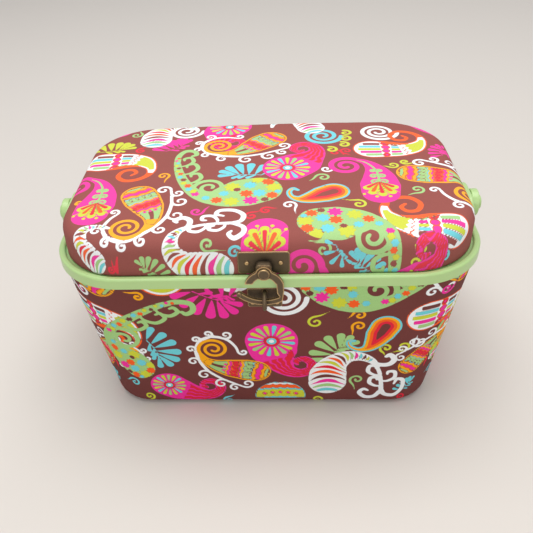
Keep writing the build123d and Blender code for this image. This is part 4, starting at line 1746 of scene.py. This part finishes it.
# ---------------------------------------------------------------- camera and light
@dataclass(frozen=True)
class View:
    """The camera, seen from above the latch side."""

    target: tuple = (-0.0258, 0.0, 0.0646)
    azimuth: float = 5.29
    elevation: float = 35.77
    roll: float = -3.97
    distance: float = 0.4845
    lens: float = 44.57
    shift: tuple = (0.0634, 0.0131)

    def build(self) -> None:
        """Makes the camera and sets it."""
        data = bpy.data.cameras.new("camera")
        data.lens = self.lens
        data.sensor_width = 36.0
        data.shift_x, data.shift_y = self.shift
        data.clip_start = 0.01
        camera = bpy.data.objects.new("camera", data)
        bpy.context.scene.collection.objects.link(camera)
        a, e = math.radians(self.azimuth), math.radians(self.elevation)
        back = Vector((math.sin(a) * math.cos(e), -math.cos(a) * math.cos(e), math.sin(e)))
        right = (-back).cross(Vector((0, 0, 1))).normalized()
        up = right.cross(-back)
        roll = math.radians(self.roll)
        turned = right * math.cos(roll) + up * math.sin(roll)
        above = -right * math.sin(roll) + up * math.cos(roll)
        matrix = Matrix((turned, above, back)).transposed().to_4x4()
        matrix.translation = Vector(self.target) + back * self.distance
        camera.matrix_world = matrix
        bpy.context.scene.camera = camera


@dataclass(frozen=True)
class Lamp:
    """A soft rectangular light aimed at the box."""

    name: str
    place: tuple
    size: tuple
    power: float
    aim: tuple = (0.0, 0.0, 0.08)

    def build(self) -> None:
        """Makes the lamp."""
        data = bpy.data.lights.new(self.name, "AREA")
        data.shape = "RECTANGLE"
        data.size, data.size_y = self.size
        data.energy = self.power
        lamp = bpy.data.objects.new(self.name, data)
        lamp.location = self.place
        lamp.rotation_euler = (Vector(self.aim) - Vector(self.place)).to_track_quat("-Z", "Y").to_euler()
        bpy.context.scene.collection.objects.link(lamp)


@dataclass(frozen=True)
class Room:
    """The plain floor and the light in the room."""

    colour: tuple = (0.66, 0.615, 0.565)
    strength: float = 0.5

    def build(self) -> None:
        """Makes the floor and the world's light."""
        bpy.ops.mesh.primitive_plane_add(size=8)
        floor = bpy.context.active_object
        floor.name = "floor"
        s = Shader("floor")
        floor.data.materials.append(s.finish(Base_Color=self.colour, Roughness=0.9))
        world = bpy.data.worlds.new("room")
        world.use_nodes = True
        world.node_tree.nodes["Background"].inputs["Color"].default_value = (0.96, 0.97, 1.0, 1.0)
        world.node_tree.nodes["Background"].inputs["Strength"].default_value = self.strength
        bpy.context.scene.world = world


FINISHES = {
    # painted top light: the lid's print is a lit copy of the body's cloth, with a ground lighter than GROUND
    # and inks paled by 0.03, standing in for the strong light from above
    "print_lid": PrintedCotton("print_lid", (0.275, 0.057, 0.043), 0.03),
    "print_body": PrintedCotton("print_body"),
    "green": Plastic("green_plastic", (0.43, 0.62, 0.25)),
    "tray": Plastic("tray_plastic", (0.80, 0.77, 0.68), 0.4),
    "brass": AntiqueBrass(),
    "board": Plain("pressed_board", (0.35, 0.24, 0.14), 0.9),
    "card": Plain("base_card", (0.045, 0.025, 0.022), 0.8),
    "lining": Plain("lining_cloth", (0.72, 0.30, 0.42), 0.55, 1800.0, sheen=0.4),
    "cushion": Plain("cushion_cloth", (0.80, 0.05, 0.26), 0.8, 2000.0, sheen=0.3),
    "steel": Plain("steel_pin", (0.55, 0.53, 0.50), 0.35, 600.0, 1.0, 0.03),
}

WEARS = {
    "lining": ("lid_shell",),
    "green": ("rim", "lid_frame", "handle", "handle_pins"),
    "tray": ("lower_tray", "upper_tray"),
    "brass": (
        "latch_lid_plate", "latch_hook", "latch_rivet", "latch_lid_nails", "latch_keeper_plate",
        "latch_keeper_nails", "latch_staple", "hinge_rim_leaves", "hinge_lid_leaves", "hinge_rim_nails",
        "hinge_lid_nails",
    ),
    "board": ("body_shell",),
    "card": ("base_panel",),
    "steel": ("hinge_pins",),
}


@dataclass(frozen=True)
class Piece:
    """A piece made here: its maker, the body that it rides, the nodes that it replaces and its finish."""

    maker: LidCloth | LidLining | LidPocket | PinCushion | BodyCloth | BodyLining
    body: str
    nodes: tuple
    finish: str

    def build(self, finishes: dict) -> bpy.types.Object:
        """Builds the piece and mounts it.

        Args:
            finishes: the materials by name.

        Returns:
            The piece.
        """
        made = self.maker.build()
        made.data.materials.append(finishes[self.finish])
        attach(made, self.body)
        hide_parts(*self.nodes)
        log.info("%s: %d faces", made.name, len(made.data.polygons))
        return made


def main() -> None:
    """Builds the scene in order."""
    logging.basicConfig(level=logging.INFO, format="%(message)s")
    bpy.context.scene.view_settings.view_transform = "Standard"
    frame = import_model()
    View().build()
    Room().build()
    Lamp("key", (-0.02, 0.1, 1.6), (1.5, 1.3), 21.5).build()
    Lamp("front", (0.1, -1.4, 0.8), (1.3, 0.9), 6.8).build()
    finishes = {name: finish.build() for name, finish in FINISHES.items()}
    for name, nodes in WEARS.items():
        for node in nodes:
            data = frame["nodes"][node].data
            data.materials.clear()
            data.materials.append(finishes[name])
        log.info("%s: worn by %s", name, ", ".join(nodes))
    Piece(BodyCloth(), "box", ("body_cover",), "print_body").build(finishes)
    lid = Piece(LidCloth(), "lid", ("lid_cover", "lid_foam"), "print_lid").build(finishes)
    Piece(BodyLining(), "box", ("body_lining",), "lining").build(finishes)
    lining = Piece(LidLining(), "lid", ("lid_lining",), "lining").build(finishes)
    pocket = Piece(LidPocket(), "lid", ("lid_pocket", "pocket_elastic"), "lining").build(finishes)
    cushion = Piece(PinCushion(), "upper_tray", ("pin_cushion",), "cushion").build(finishes)


if __name__ == "__main__":
    main()
